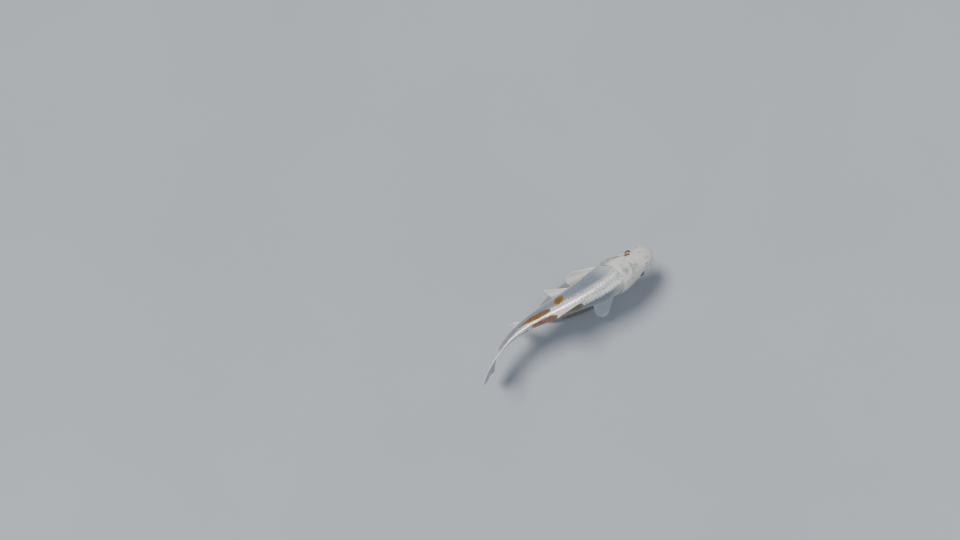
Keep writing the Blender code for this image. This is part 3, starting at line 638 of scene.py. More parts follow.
# ================================================================== mirror scales: where each one lies
def back_phase(s):
    """The row beside the dorsal midline: near it on the nape, further out beside the dorsal fin."""
    return np.interp(s, [60, 70, 100, 128, 150, 200, 232, 250, 285], [9.0, 11.0, 12.5, 15.5, 22.5, 25.0, 24.0, 18.0, 17.0])


def side_phase(s):
    return 84 + 5 * smooth(s, 80, 200)


def lay_plates():
    """Every scale: row, side, station, degrees, length, half width, turn.  Each starts under the last one's rear edge."""
    plates = []
    jitter = lambda k: 1 + k * float(rng.uniform(-1, 1))
    for row, first, last, full, knots, grow, pitch, broad in (
            ("back", 65.0, 284.0, 12.0, [60, 82, 200, 285], [0.60, 1.0, 0.92, 0.56], 0.52, 0.46),
            ("side", 89.0, 286.0, 10.5, [86, 104, 220, 286], [0.75, 1.0, 0.90, 0.55], 0.54, 0.37)):
        for side in (1, -1):
            s = first + (1.5 * side if row == "back" else 0.0)
            while s < last:
                size = full * float(np.interp(s, knots, grow)) * jitter(0.15)
                place = float(back_phase(s) if row == "back" else side_phase(s)) + float(rng.uniform(-1.3, 1.3))
                place += 1.1 * math.sin(s / 11.0 + side)
                plates.append((row, side, s, place, size, size * broad * jitter(0.09), math.radians(float(rng.uniform(-9, 9)))))
                s += size * pitch * jitter(0.08)
    return plates


PLATES = lay_plates()


def pocket_shade_marks(s, w):
    """Painted shade where a scale's uncovered corners dip into the skin."""
    out = np.zeros(len(s))
    for row, side, s0, w0, length, half, turn in PLATES:
        near = np.where((np.abs(s - s0) < length) & (w * side > w0 - 40) & (w * side < w0 + 40))[0]
        d = 0.01
        x0, z0 = section(s0, math.radians(w0) - d)
        x1, z1 = section(s0, math.radians(w0) + d)
        per = float(np.hypot(x1 - x0, z1 - z0)) / (2 * d) * math.pi / 180
        across, along = (w[near] * side - w0) * per, s[near] - s0
        c, sn = math.cos(turn), math.sin(turn)
        a, b = across * c + along * sn, -across * sn + along * c
        v = b / length + 0.40
        mark = np.zeros(len(near))
        for edge in (1, -1):
            k = float(rng.uniform(0.0, 1.0)) ** 0.6 * ((1.0 if side > 0 else 0.6) if row == "back" else 0.3)
            mark = np.maximum(mark, k * bell(np.hypot(a - edge * half * 0.98, (v - 0.46) * length * 0.8), 1.7))
        out[near] = np.maximum(out[near], mark)
    return out


# ================================================================== markings, as distances to shapes drawn on the body (mm)
W = 0.44    # mm per degree round the body, as the markings are drawn


def seg_field(points, s, w):
    """Signed distance, mm, to a closed outline given as (station, degrees): positive inside."""
    poly = np.array([(a, b * W) for a, b in points])
    q = np.stack([s, w * W], 1)
    best = np.full(len(q), 1e9)
    inside = np.zeros(len(q), bool)
    n = len(poly)
    for i in range(n):
        a, b = poly[i], poly[(i + 1) % n]
        ab = b - a
        t = np.clip(((q - a) @ ab) / (ab @ ab), 0, 1)
        best = np.minimum(best, np.linalg.norm(q - (a + t[:, None] * ab), axis=1))
        cond = (a[1] > q[:, 1]) != (b[1] > q[:, 1])
        inside ^= cond & (q[:, 0] < (b[0] - a[0]) * (q[:, 1] - a[1]) / (b[1] - a[1] + 1e-12) + a[0])
    return np.where(inside, best, -best)


def rounded(field, r):
    return field + r


ORANGE = [
    # an oval and a long streak on the left flank, a fleck above and behind the left eye
    (1.0, [(163, 52), (166, 45), (171, 41), (176, 47), (178, 57), (176, 70), (172, 79), (166, 80), (162, 73), (160, 63)]),
    (0.8, [(188, 30), (189, 42), (193, 49), (201, 53), (209, 55), (216, 58), (224, 60), (231, 58), (238, 52), (239, 42), (231, 33),
           (222, 26), (212, 20), (205, 20), (197, 22)]),
    (0.6, [(32, 51), (35, 57), (39, 60), (43, 56), (44, 51), (40, 45), (35, 44)]),
    # patches low on the right flank and on the right of the stem, as such fish have
    (1.0, [(174, -66), (179, -60), (187, -58), (196, -64), (198, -72), (190, -79), (180, -77)]),
    (0.8, [(222, -62), (227, -57), (236, -56), (241, -63), (238, -71), (229, -74)]),
]
BROWN = [
    (0.8, [(139, -18), (143, -14), (150, -11), (157, -9), (164, -11), (170, -12), (179, -12), (188, -9), (197, -5), (207, -3), (216, -3),
           (222, -6), (227, -16), (226, -30), (219, -42), (210, -50), (200, -52), (190, -56), (184, -60), (176, -54), (170, -52), (164, -50),
           (160, -38), (152, -44), (146, -42), (140, -34)]),
    (0.6, [(235, -28), (243, -32), (250, -38), (248, -54), (240, -56), (235, -44)]),
    # a thin broken line from the eye towards the shoulder
    (0.2, [(43, 58), (47, 61), (52, 65), (58, 70), (62, 67), (57, 63), (51, 58), (46, 55)]),
]


def field_of(shapes, s, w):
    out = np.full(len(s), -60.0)
    for r, outline in shapes:
        out = np.maximum(out, rounded(seg_field(outline, s, w), r))
    return out


def paint(me, P, fin, hollow_shade, soft, a, r, rays, kind=None):
    """Writes on a mesh everything its material reads, from straight-fish places."""
    s, w, out = polar(P)
    put(me, "fish", P / 1000.0, "FLOAT_VECTOR")
    off = fin > 0.5
    put(me, "m_orange", np.where(off, -20, field_of(ORANGE, s, w)))
    put(me, "m_brown", np.where(off, -20, field_of(BROWN, s, w)))
    reach = gill_line(np.radians(np.abs(w)))
    cover = smooth(s, 46, 66) * (1 - smooth(s, reach - 1.5, reach + 0.5)) * smooth(w, 54, 68) * (1 - smooth(w, 84, 118))
    stem = smooth(s, 262, 274) * smooth(w, 50, 68) * (1 - smooth(w, 100, 122)) * 0.8
    put(me, "m_olive", np.maximum(cover, stem) * (1 - fin))
    # a whiter band on the fold behind the skull: painted highlight
    edge = s - (gill_line(np.radians(w)) + 1.2)
    put(me, "m_nape_highlight", bell(edge, 1.5) * (1 - smooth(np.abs(w), 22, 40)) * (1 - fin))
    veins = smooth(s, 30, 38) * (1 - smooth(s, 54, 62)) * bell(w + 4, 24)
    put(me, "m_vein", veins * (1 - fin))
    # Flank tint: the fish's own blue-grey silver, made deeper and bluer as painted shade on the flanks that turn away
    # from the light and as painted blue reflection of water.
    aw = np.abs(w)
    behind = s - gill_line(np.radians(aw))
    rim = back_phase(s)
    low = smooth(aw, 52, 86)
    start = ((1 - low) * (0.50 * smooth(behind, -2, 2) + 0.50 * smooth(behind, 2, 34))
             + low * (0.45 * smooth(behind, -1, 3) + 0.55 * smooth(behind, 0, 26)))
    cheek = 0.30 * smooth(s, 52, 74) * (1 - smooth(behind, -2, 1)) * smooth(aw, 40, 66)
    # On the right side, which lies in the body's shade, the tint starts nearer the back: painted shade.
    right = np.where(w < 0, 1.0, 0.0) * (1 - smooth(s, 132, 150))
    begin, full = rim + 2 - 1 * right, rim + 27 - 11 * right
    put(me, "m_flank_tint_and_shade", np.maximum(smooth(aw, begin, full) * start, cheek) * (1 - smooth(aw, 74, 122)) * (1 - fin))
    # The tail stem turns deep blue-grey: painted shade with a blue cast.
    put(me, "m_stem_shade", smooth(s, 228, 272) * smooth(aw, 16, 46) * (1 - 0.6 * smooth(aw, 120, 160)) * (1 - fin))
    put(me, "m_belly", smooth(aw, 112, 150) * (1 - fin))
    put(me, "m_head", (1 - smooth(s, 54, 74)) * (1 - fin))
    blush = bell(np.hypot((s - 14.0) / 3.2, (w + 8.0) * 0.16), 1.0)
    for bs, bw in ((59.0, -34.0), (50.0, -37.0), (46.0, 37.0)):
        blush = np.maximum(blush, 0.8 * bell(np.hypot((s - bs) / 3.6, (w - bw) * 0.13), 1.0))
    put(me, "m_pink", blush * (1 - fin))
    put(me, "m_fin", fin)
    # painted shade in the hollows of the skin
    put(me, "m_hollow_shade", hollow_shade)
    # painted shade at the scales' corners, carried onto the skin
    put(me, "m_pocket_shade", np.zeros(len(P)) if kind is None else pocket_shade_marks(s, w) * (1 - fin))
    put(me, "m_soft", soft)
    put(me, "ray_a", a * rays)
    put(me, "ray_r", r)
    # The right-hand paired fins, which lie in the body's shade, and the tail's membrane take a cool blue-grey: a
    # see-through membrane with painted shade and a painted blue cast.
    clear = np.zeros(len(P)) if kind is None else np.isin(kind, (2, 4, 6)).astype(float)
    if kind is not None:    # the tail's outermost rays are thick and white, the membrane between the rest is clear
        clear = clear * np.where(kind == 2, smooth(np.minimum(a, 1 - a), 0.05, 0.16), 1.0)
    put(me, "m_clear_in_shade", clear * fin)


paint(me, P, fin_mask, hollow_shade, soft * np.where(dsoft < np.minimum(db, df) + 0.4, 1.0, 0.0),
      info[:, 0], info[:, 1], info[:, 2], kind)
set_points(me, posed(P))


# ================================================================== mirror scales as mesh
def add_scale(store, s0, w0, length, half, side, lift, twist, sunk):
    """A thin shingle that lies on the body, its front under the skin and its rear edge free."""
    nu, nv = 13, 16
    u, v = np.meshgrid(np.linspace(-1, 1, nu), np.linspace(0, 1, nv) ** 0.92, indexing="ij")
    rough_edge = 1 + 0.022 * math.sin(7 * s0) * np.sin(5.0 * u + s0) + 0.012 * np.sin(11.0 * u + 3 * s0)
    outline = np.clip(1 - np.clip((v - 0.60) / 0.40, 0, 1) ** 2.2, 0, 1) ** 0.55 * (0.84 + 0.16 * smooth(v, 0.05, 0.55))
    across = u * half * outline * rough_edge
    along = (v - 0.40) * length * rough_edge
    c, sn = math.cos(twist), math.sin(twist)
    across, along = across * c - along * sn, across * sn + along * c
    s = s0 + along
    w = np.radians(np.full_like(s, w0))
    d = 0.01
    x0, z0 = section(s, w - d)
    x1, z1 = section(s, w + d)
    per = np.hypot(x1 - x0, z1 - z0) / (2 * d)
    w = w + across / np.maximum(per, 1e-3)
    phi = np.where(side > 0, w, -w)
    x, z = section(s, phi)
    p = np.stack([x, s, z], -1)
    xs, zs = section(s + 0.1, phi)
    xp, zp = section(s, phi + 0.01)
    n = np.cross(np.stack([xs - x, np.full_like(s, 0.1), zs - z], -1), np.stack([xp - x, 0 * s, zp - z], -1))
    n /= np.linalg.norm(n, axis=2, keepdims=True) + 1e-12
    n *= np.sign((n * np.stack([x, 0 * x, z - wide_z(s)], -1)).sum(2, keepdims=True))
    h = -sunk + (lift + sunk) * v ** 0.9 - 0.16 * np.abs(u) ** 2.6 * (1 - 0.5 * v) - 0.08 * smooth(v, 0.88, 1.0)
    top_ = p + n * h[..., None]
    under = p + n * (h - 0.26)[..., None]
    base = len(store["points"])
    m = nu * nv
    store["points"] += [tuple(q) for q in top_.reshape(-1, 3)] + [tuple(q) for q in under.reshape(-1, 3)]
    store["u"] += list(np.tile((u * outline).ravel(), 2))
    store["v"] += list(np.tile(v.ravel(), 2))
    store["tone"] += [float(rng.uniform(-1, 1))] * (2 * m)
    root = (s0 / 360.0, (w0 * side % 360) / 360.0)
    uv = np.stack([root[0] + 0.003 * v, root[1] + 0.0015 * (u + 1)], -1).reshape(-1, 2)
    store["uv"] += [tuple(q) for q in np.concatenate([uv, uv])]
    for i in range(nu - 1):
        for j in range(nv - 1):
            q = base + i * nv + j
            store["faces"] += [(q, q + nv, q + nv + 1, q + 1), (m + q, m + q + 1, m + q + nv + 1, m + q + nv)]
    rim = ([i * nv for i in range(nu)] + [(nu - 1) * nv + j for j in range(1, nv)]
           + [i * nv + nv - 1 for i in range(nu - 2, -1, -1)] + [j for j in range(nv - 2, 0, -1)])
    for k, q in enumerate(rim):
        q2 = rim[(k + 1) % len(rim)]
        store["faces"].append((base + q, base + m + q, base + m + q2, base + q2))


def scale_piece(name, want):
    store = {"points": [], "faces": [], "u": [], "v": [], "tone": [], "uv": []}
    for row, side, s0, w0, length, half, turn in PLATES:
        if row == want:
            add_scale(store, s0, w0, length, half, side, *((0.56, turn, 0.30) if row == "back" else (0.34, turn, 0.30)))
    P = np.array(store["points"])
    ob = mesh_object(name, P, store["faces"])
    outward(ob)
    me = ob.data
    z = np.zeros(len(P))
    paint(me, P, z, z, z, z, z, z)
    put(me, "sc_u", store["u"])
    put(me, "sc_v", store["v"])
    put(me, "sc_tone", store["tone"])
    put(me, "sc_side", np.full(len(P), 1.0 if want == "side" else 0.0))
    layer = me.uv_layers.new(name="OFBake")
    idx = np.empty(len(me.loops), np.int64)
    me.loops.foreach_get("vertex_index", idx)
    layer.data.foreach_set("uv", np.array(store["uv"], np.float32)[idx].ravel())
    set_points(me, posed(P))
    me.shade_smooth()
    return ob


scales_back = scale_piece("scales_back", "back")
scales_side = scale_piece("scales_side", "side")

# ================================================================== eyes
eyes = []
for side, name in ((1, "eye_left"), (-1, "eye_right")):
    c = eye_centre(side)
    gaze = unit((side * 1.0, -0.20, 0.16))
    e1 = unit(np.cross((0, 0, 1), gaze))
    e2 = np.cross(gaze, e1)
    lat, lon = 48, 64
    rings = []
    for t in np.linspace(0, math.pi, lat + 1)[1:-1]:
        q = np.arange(lon) / lon * 2 * math.pi
        d = (math.cos(t) * gaze + math.sin(t) * (np.cos(q)[:, None] * e1 + np.sin(q)[:, None] * e2))
        radius = 1 / np.sqrt((d[:, 0] / EYE_BULGE_R) ** 2 + (d[:, 1] / EYE_R) ** 2 + (d[:, 2] / EYE_R) ** 2)
        cornea = 0.35 * math.exp(-(t / 0.55) ** 2)
        rings.append(c + d * (radius + cornea - 0.12)[:, None])
    g = 1 / math.sqrt((gaze[0] / EYE_BULGE_R) ** 2 + (gaze[1] / EYE_R) ** 2 + (gaze[2] / EYE_R) ** 2)
    pts, faces = tube(rings, start=c + gaze * (g + 0.23), end=c - gaze * (g - 0.12))
    ob = mesh_object(name + "_ball", pts, faces)
    outward(ob)
    Pe = np.asarray(pts)
    v = Pe - c
    v /= np.linalg.norm(v, axis=1, keepdims=True)
    put(ob.data, "gaze", np.degrees(np.arccos(np.clip(v @ gaze, -1, 1))))
    put(ob.data, "round", np.degrees(np.arctan2(v @ e2, v @ e1)))
    put(ob.data, "fish", Pe / 1000.0, "FLOAT_VECTOR")
    set_points(ob.data, posed(Pe))
    ob.data.shade_smooth()
    eyes.append(ob)
    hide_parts(name)
    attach(ob, "root")

# ================================================================== stand base
def base_outline(k):
    y = BASE_HALF_LENGTH * np.cos(k)
    w = BASE_HALF_WIDTH * (1 - BASE_TAPER * (y / BASE_HALF_LENGTH))
    return w * np.sign(np.sin(k)) * np.abs(np.sin(k)) ** 0.86, y


def stand_base():
    k = np.arange(240) / 240 * 2 * math.pi
    x, y = base_outline(k)
    loops = []
    prof = [(0.0, 0.8), (0.25, 0.35), (0.8, 0.0)]
    prof += [(BASE_THICK - 1.6, 0.0)]
    for t in np.linspace(0.12, 1, 8):
        prof.append((BASE_THICK - 1.6 + 1.6 * math.sin(t * math.pi / 2), 1.6 * (1 - math.cos(t * math.pi / 2))))
    for z, inset in prof:
        f = 1 - inset / np.hypot(x, y)
        loops.append(np.stack([x * f, y * f, np.full(240, z)], 1))
    pts, faces = tube(loops, start=(0, 0, 0), end=(0, 0, BASE_THICK))
    ob = mesh_object("stand_base_plate", np.asarray(pts) / 1000.0, faces)
    outward(ob)
    ob.data.shade_smooth()
    ob.data.set_sharp_from_angle(angle=math.radians(40))
    return ob


plate = stand_base()
collars = []
for n in ("stand_rod_front", "stand_rod_rear"):
    lo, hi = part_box(n)
    cx, cy = (lo.x + hi.x) / 2 * 1000, (lo.y + hi.y) / 2 * 1000
    q = np.arange(48) / 48 * 2 * math.pi
    prof = [(2.56, 8.9), (5.2, 8.9), (5.3, 9.1), (5.3, 9.9), (5.1, 10.25), (4.7, 10.4), (2.9, 10.4), (2.6, 10.2)]
    rings = [np.stack([cx + r * np.cos(q), cy + r * np.sin(q), np.full(48, z)], 1) for r, z in prof]
    n_, m_ = len(rings), 48
    pts = np.concatenate(rings)
    faces = [(i * m_ + j, i * m_ + (j + 1) % m_, ((i + 1) % n_) * m_ + (j + 1) % m_, ((i + 1) % n_) * m_ + j)
             for i in range(n_) for j in range(m_)]
    ob = mesh_object(n.replace("rod", "collar"), pts / 1000.0, faces)
    outward(ob)
    ob.data.shade_smooth()
    ob.data.set_sharp_from_angle(angle=math.radians(35))
    collars.append(ob)


# ================================================================== materials
class Tree:
    def __init__(self, name):
        self.m = bpy.data.materials.new(name)
        self.m.use_nodes = True
        self.t = self.m.node_tree
        self.b = self.t.nodes["Principled BSDF"]

    def put(self, socket, value):
        if isinstance(value, bpy.types.NodeSocket):
            self.t.links.new(value, socket)
        elif value is not None:
            if hasattr(socket.default_value, "__len__") and not hasattr(value, "__len__"):
                value = [value] * len(socket.default_value)
            if hasattr(value, "__len__") and hasattr(socket.default_value, "__len__") and len(socket.default_value) == 4 and len(value) == 3:
                value = (*value, 1)
            socket.default_value = value

    def attr(self, name, vector=False):
        n = self.t.nodes.new("ShaderNodeAttribute")
        n.attribute_name = name
        return n.outputs["Vector" if vector else "Fac"]

    def math(self, op, a, b=None, c=None, clamp=False):
        n = self.t.nodes.new("ShaderNodeMath")
        n.operation, n.use_clamp = op, clamp
        for i, v in enumerate((a, b, c)):
            if v is not None:
                self.put(n.inputs[i], v)
        return n.outputs[0]

    def step(self, x, lo, hi, to0=0.0, to1=1.0):
        n = self.t.nodes.new("ShaderNodeMapRange")
        n.interpolation_type = "SMOOTHSTEP"
        for i, v in enumerate((x, lo, hi, to0, to1)):
            self.put(n.inputs[i], v)
        return n.outputs[0]

    def mix(self, fac, a, b, blend="MIX"):
        n = self.t.nodes.new("ShaderNodeMix")
        n.data_type, n.blend_type = "RGBA", blend
        self.put(n.inputs[0], fac)
        self.put(n.inputs[6], a)
        self.put(n.inputs[7], b)
        return n.outputs[2]

    def noise(self, vec, scale, detail=2.0, rough=0.5, out="Fac", distortion=0.0):
        n = self.t.nodes.new("ShaderNodeTexNoise")
        self.put(n.inputs["Vector"], vec)
        n.inputs["Scale"].default_value = scale
        n.inputs["Detail"].default_value = detail
        n.inputs["Roughness"].default_value = rough
        n.inputs["Distortion"].default_value = distortion
        return n.outputs[out]

    def voronoi(self, vec, scale, feature="F1", out="Distance", random_=1.0):
        n = self.t.nodes.new("ShaderNodeTexVoronoi")
        n.feature = feature
        self.put(n.inputs["Vector"], vec)
        n.inputs["Scale"].default_value = scale
        n.inputs["Randomness"].default_value = random_
        return n.outputs[out]

    def stretch(self, vec, scale):
        n = self.t.nodes.new("ShaderNodeMapping")
        self.put(n.inputs["Vector"], vec)
        n.inputs["Scale"].default_value = scale
        return n.outputs[0]

    def bump(self, height, distance, strength=1.0, normal=None):
        n = self.t.nodes.new("ShaderNodeBump")
        self.put(n.inputs["Height"], height)
        n.inputs["Distance"].default_value = distance
        n.inputs["Strength"].default_value = strength
        if normal is not None:
            self.put(n.inputs["Normal"], normal)
        return n.outputs[0]

    def set(self, **kw):
        for k, v in kw.items():
            self.put(self.b.inputs[k.replace("_", " ")], v)


# The flank colours are the fish's own blue-grey, deepened by painted shade and painted blue reflection.
FLANK_TINT_AND_SHADE, BELLY, STEM_SHADE = (0.098, 0.140, 0.205), (0.76, 0.75, 0.71), (0.055, 0.068, 0.112)
ORANGE_A, ORANGE_B = (0.36, 0.150, 0.002), (0.160, 0.070, 0.001)
BROWN_B = (0.085, 0.045, 0.020)


def koi_colour(t, scale=False):
    """Shared by skin and scales, so that both carry the same markings."""
    fish = t.attr("fish", True)
    wide = t.noise(fish, 28.0, 3.0, 0.55)
    mid = t.noise(fish, 120.0, 4.0, 0.6)
    fine = t.noise(fish, 620.0, 3.0, 0.6)
    col = t.mix(t.step(wide, 0.30, 0.70), (0.70, 0.71, 0.695), (0.80, 0.80, 0.765))
    # flank: own blue-grey silver with painted shade and painted blue reflection worked into it
    streak = t.noise(t.stretch(fish, (1.0, 0.34, 1.0)), 75.0, 4.0, 0.55)
    flank = t.math("MULTIPLY", t.attr("m_flank_tint_and_shade"), t.step(streak, 0.15, 0.75, 0.72, 1.0))
    shade = t.mix(t.step(streak, 0.30, 0.70), FLANK_TINT_AND_SHADE, (0.145, 0.190, 0.255))
    col = t.mix(flank, col, shade)
    # painted blue shade over the tail stem
    col = t.mix(t.math("MULTIPLY", t.attr("m_stem_shade"), t.step(mid, 0.25, 0.65, 0.35, 0.85)), col, STEM_SHADE)
    col = t.mix(t.attr("m_belly"), col, BELLY)
    apart = t.t.nodes.new("ShaderNodeSeparateXYZ")
    t.put(apart.inputs[0], fish)
    col = t.mix(t.step(apart.outputs[1], 0.232, 0.276, 0.0, 0.55), col, (0.40, 0.375, 0.415))
    # the head's skin is thinner: warm grey, with bone and veins showing through
    head = t.attr("m_head")
    col = t.mix(t.math("MULTIPLY", head, t.step(mid, 0.40, 0.70, 0.0, 0.42)), col, (0.58, 0.585, 0.535))
    cells = t.voronoi(t.stretch(t.math_vec(fish, mid), (150, 95, 150)), 1.0, "DISTANCE_TO_EDGE")
    vein = t.math("MULTIPLY", t.attr("m_vein"), t.math("MULTIPLY", t.step(cells, 0.16, 0.02), t.step(mid, 0.38, 0.62)))
    col = t.mix(t.math("MULTIPLY", vein, 0.75), col, (0.20, 0.20, 0.215))
    blotch = t.math("MULTIPLY", t.attr("m_vein"), t.step(t.noise(fish, 75.0, 3.0, 0.6), 0.44, 0.64))
    col = t.mix(t.math("MULTIPLY", blotch, 0.70), col, (0.235, 0.24, 0.27))
    # pigment freckles and fine mottling
    dots = t.voronoi(fish, 520.0)
    freckle = t.math("MULTIPLY", t.step(dots, 0.30, 0.12), t.step(mid, 0.52, 0.70))
    col = t.mix(t.math("MULTIPLY", freckle, 0.35), col, (0.20, 0.20, 0.21))
    col = t.mix(t.math("MULTIPLY", t.step(fine, 0.35, 0.70, 0.0, 0.14), t.step(t.attr("m_flank_tint_and_shade"), 0.0, 1.0, 1.0, 0.35)), col, (0.84, 0.84, 0.81))
    warm = t.math("MULTIPLY", head, t.step(t.noise(fish, 48.0, 4.0, 0.6), 0.46, 0.72, 0.0, 0.30))
    col = t.mix(warm, col, (0.64, 0.555, 0.50))
    # painted highlight on the nape's fold
    col = t.mix(t.math("MULTIPLY", t.attr("m_nape_highlight"), 0.55), col, (0.88, 0.90, 0.90))
    col = t.mix(t.math("MULTIPLY", t.attr("m_pink"), t.step(mid, 0.30, 0.60, 0.25, 0.75)), col, (0.55, 0.36, 0.36))
    olive = t.mix(t.step(streak, 0.35, 0.65), (0.215, 0.200, 0.125), (0.31, 0.28, 0.20))
    col = t.mix(t.math("MULTIPLY", t.attr("m_olive"), t.step(mid, 0.28, 0.64, 0.30, 0.92)), col, olive)
    # markings: crisp edges that wander with noise, with skin showing through
    wobble = t.math("MULTIPLY_ADD", t.math("SUBTRACT", mid, 0.5), 6.5, t.math("MULTIPLY", t.math("SUBTRACT", fine, 0.5), 3.0))
    d_o = t.math("ADD", t.attr("m_orange"), wobble)
    orange = t.mix(t.step(d_o, 0.2, 4.5), ORANGE_A, ORANGE_B)
    orange = t.mix(t.step(t.noise(fish, 210.0, 3.0, 0.6), 0.42, 0.66, 0.0, 0.55), orange, (0.30, 0.118, 0.002))
    orange = t.mix(t.step(fine, 0.50, 0.75, 0.0, 0.30), orange, (0.50, 0.27, 0.010))
    col = t.mix(t.step(d_o, -0.8, 0.8), col, orange)
    d_b = t.math("ADD", t.attr("m_brown"), t.math("MULTIPLY", wobble, 1.2))
    place = t.math("MULTIPLY_ADD", t.math("SUBTRACT", mid, 0.5), 0.030, apart.outputs[1])
    brown = t.mix(t.step(place, 0.154, 0.168), (0.190, 0.145, 0.030), (0.420, 0.200, 0.008))
    brown = t.mix(t.step(place, 0.182, 0.198), brown, (0.330, 0.095, 0.010))
    brown = t.mix(t.step(t.noise(fish, 130.0, 3.0), 0.40, 0.66, 0.0, 0.40), brown, BROWN_B)
    col = t.mix(t.math("MULTIPLY", t.step(d_b, -1.0, 1.0), t.step(fine, 0.20, 0.62, 1.0, 0.88)), col, brown)
    return fish, col, mid, fine, t.math("MAXIMUM", t.step(d_o, -0.8, 0.8), t.step(d_b, -1.0, 1.0))


def math_vec(self, vec, n):
    """The vector, shaken a little by a pattern, so that cell edges wander."""
    a = self.t.nodes.new("ShaderNodeVectorMath")
    a.operation = "SCALE"
    c = self.t.nodes.new("ShaderNodeTexNoise")
    self.put(c.inputs["Vector"], vec)
    c.inputs["Scale"].default_value = 60.0
    self.t.links.new(c.outputs["Color"], a.inputs[0])
    a.inputs["Scale"].default_value = 0.010
    b = self.t.nodes.new("ShaderNodeVectorMath")
    b.operation = "ADD"
    self.put(b.inputs[0], vec)
    self.t.links.new(a.outputs[0], b.inputs[1])
    return b.outputs[0]


Tree.math_vec = math_vec


def skin_material():
    t = Tree("koi_skin")
    fish, col, mid, fine, mark = koi_colour(t)
    fin, soft, hollow_shade = t.attr("m_fin"), t.attr("m_soft"), t.attr("m_hollow_shade")
    # fins: milky, with paler rays and cooler clear membrane towards the margin
    phase, r = t.attr("ray_a"), t.attr("ray_r")
    one = t.math("POWER", t.math("ABSOLUTE", t.math("COSINE", t.math("MULTIPLY", phase, math.pi))), 3.0)
    two = t.math("POWER", t.math("ABSOLUTE", t.math("COSINE", t.math("MULTIPLY", phase, 2 * math.pi))), 2.0)
    fork = t.step(r, 0.45, 0.75)
    ray = t.math("ADD", t.math("MULTIPLY", one, t.math("SUBTRACT", 1.0, fork)), t.math("MULTIPLY", two, t.math("MULTIPLY", fork, 0.8)))
    joints = t.math("SINE", t.math("MULTIPLY", r, 190.0))
    milk = t.mix(ray, (0.80, 0.79, 0.735), (0.92, 0.91, 0.86))
    # cool blue-grey for the see-through membrane of the right fins and tail: painted shade with a blue cast
    clear = t.mix(ray, (0.42, 0.50, 0.585), (0.62, 0.68, 0.73))
    finc = t.mix(t.attr("m_clear_in_shade"), milk, clear)
    finc = t.mix(t.math("MULTIPLY", t.step(r, 0.62, 1.0, 0.0, 0.5), t.math("SUBTRACT", 1.0, ray)), finc, (0.66, 0.69, 0.72))
    finc = t.mix(t.step(r, 0.95, 1.0, 0.0, 0.55), finc, (0.82, 0.85, 0.88))
    finc = t.mix(t.step(mid, 0.45, 0.80, 0.0, 0.22), finc, (0.56, 0.555, 0.545))
    col = t.mix(fin, col, finc)
    # lips and feelers
    lipc = t.mix(t.step(mid, 0.35, 0.7), (0.62, 0.53, 0.47), (0.70, 0.64, 0.58))
    col = t.mix(t.math("MULTIPLY", soft, 0.6), col, lipc)
    # painted shade at the scales' corners
    col = t.mix(t.math("MULTIPLY", t.attr("m_pocket_shade"), t.step(mid, 0.30, 0.60, 0.45, 0.90)), col, (0.085, 0.090, 0.115))
    # painted shade in the hollows: gill slit, eye socket, nostrils, mouth groove, pores and vent
    col = t.mix(t.math("MULTIPLY", hollow_shade, 0.88), col, (0.050, 0.045, 0.040))
    rough = t.math("ADD", t.step(mid, 0.2, 0.8, 0.27, 0.40), t.math("MULTIPLY", fin, 0.08))
    wrinkle = t.noise(t.stretch(fish, (1.0, 0.6, 1.0)), 900.0, 4.0, 0.65)
    leather = t.voronoi(t.math_vec(fish, mid), 420.0, "DISTANCE_TO_EDGE")
    h = t.math("ADD", t.math("MULTIPLY", wrinkle, 0.6), t.math("MULTIPLY", t.step(leather, 0.0, 0.25), 0.4))
    h = t.math("MULTIPLY", h, t.math("SUBTRACT", 1.0, t.math("MULTIPLY", fin, 0.8)))
    hf = t.math("MULTIPLY", fin, t.math("ADD", t.math("MULTIPLY", ray, 1.2), t.math("MULTIPLY", t.math("MULTIPLY", joints, ray), 0.22)))
    n1 = t.bump(h, 0.00012, 0.28)
    n2 = t.bump(hf, 0.00020, 0.6, n1)
    t.set(Base_Color=col, Roughness=rough, Normal=n2, Metallic=0.06, Coat_Weight=t.step(mark, 0.0, 1.0, 0.25, 0.08), Coat_Roughness=0.16,
          Specular_IOR_Level=t.step(mark, 0.0, 1.0, 0.5, 0.28),
          Subsurface_Weight=0.10, Subsurface_Radius=(1.0, 0.7, 0.5), Subsurface_Scale=0.0012)
    return t.m


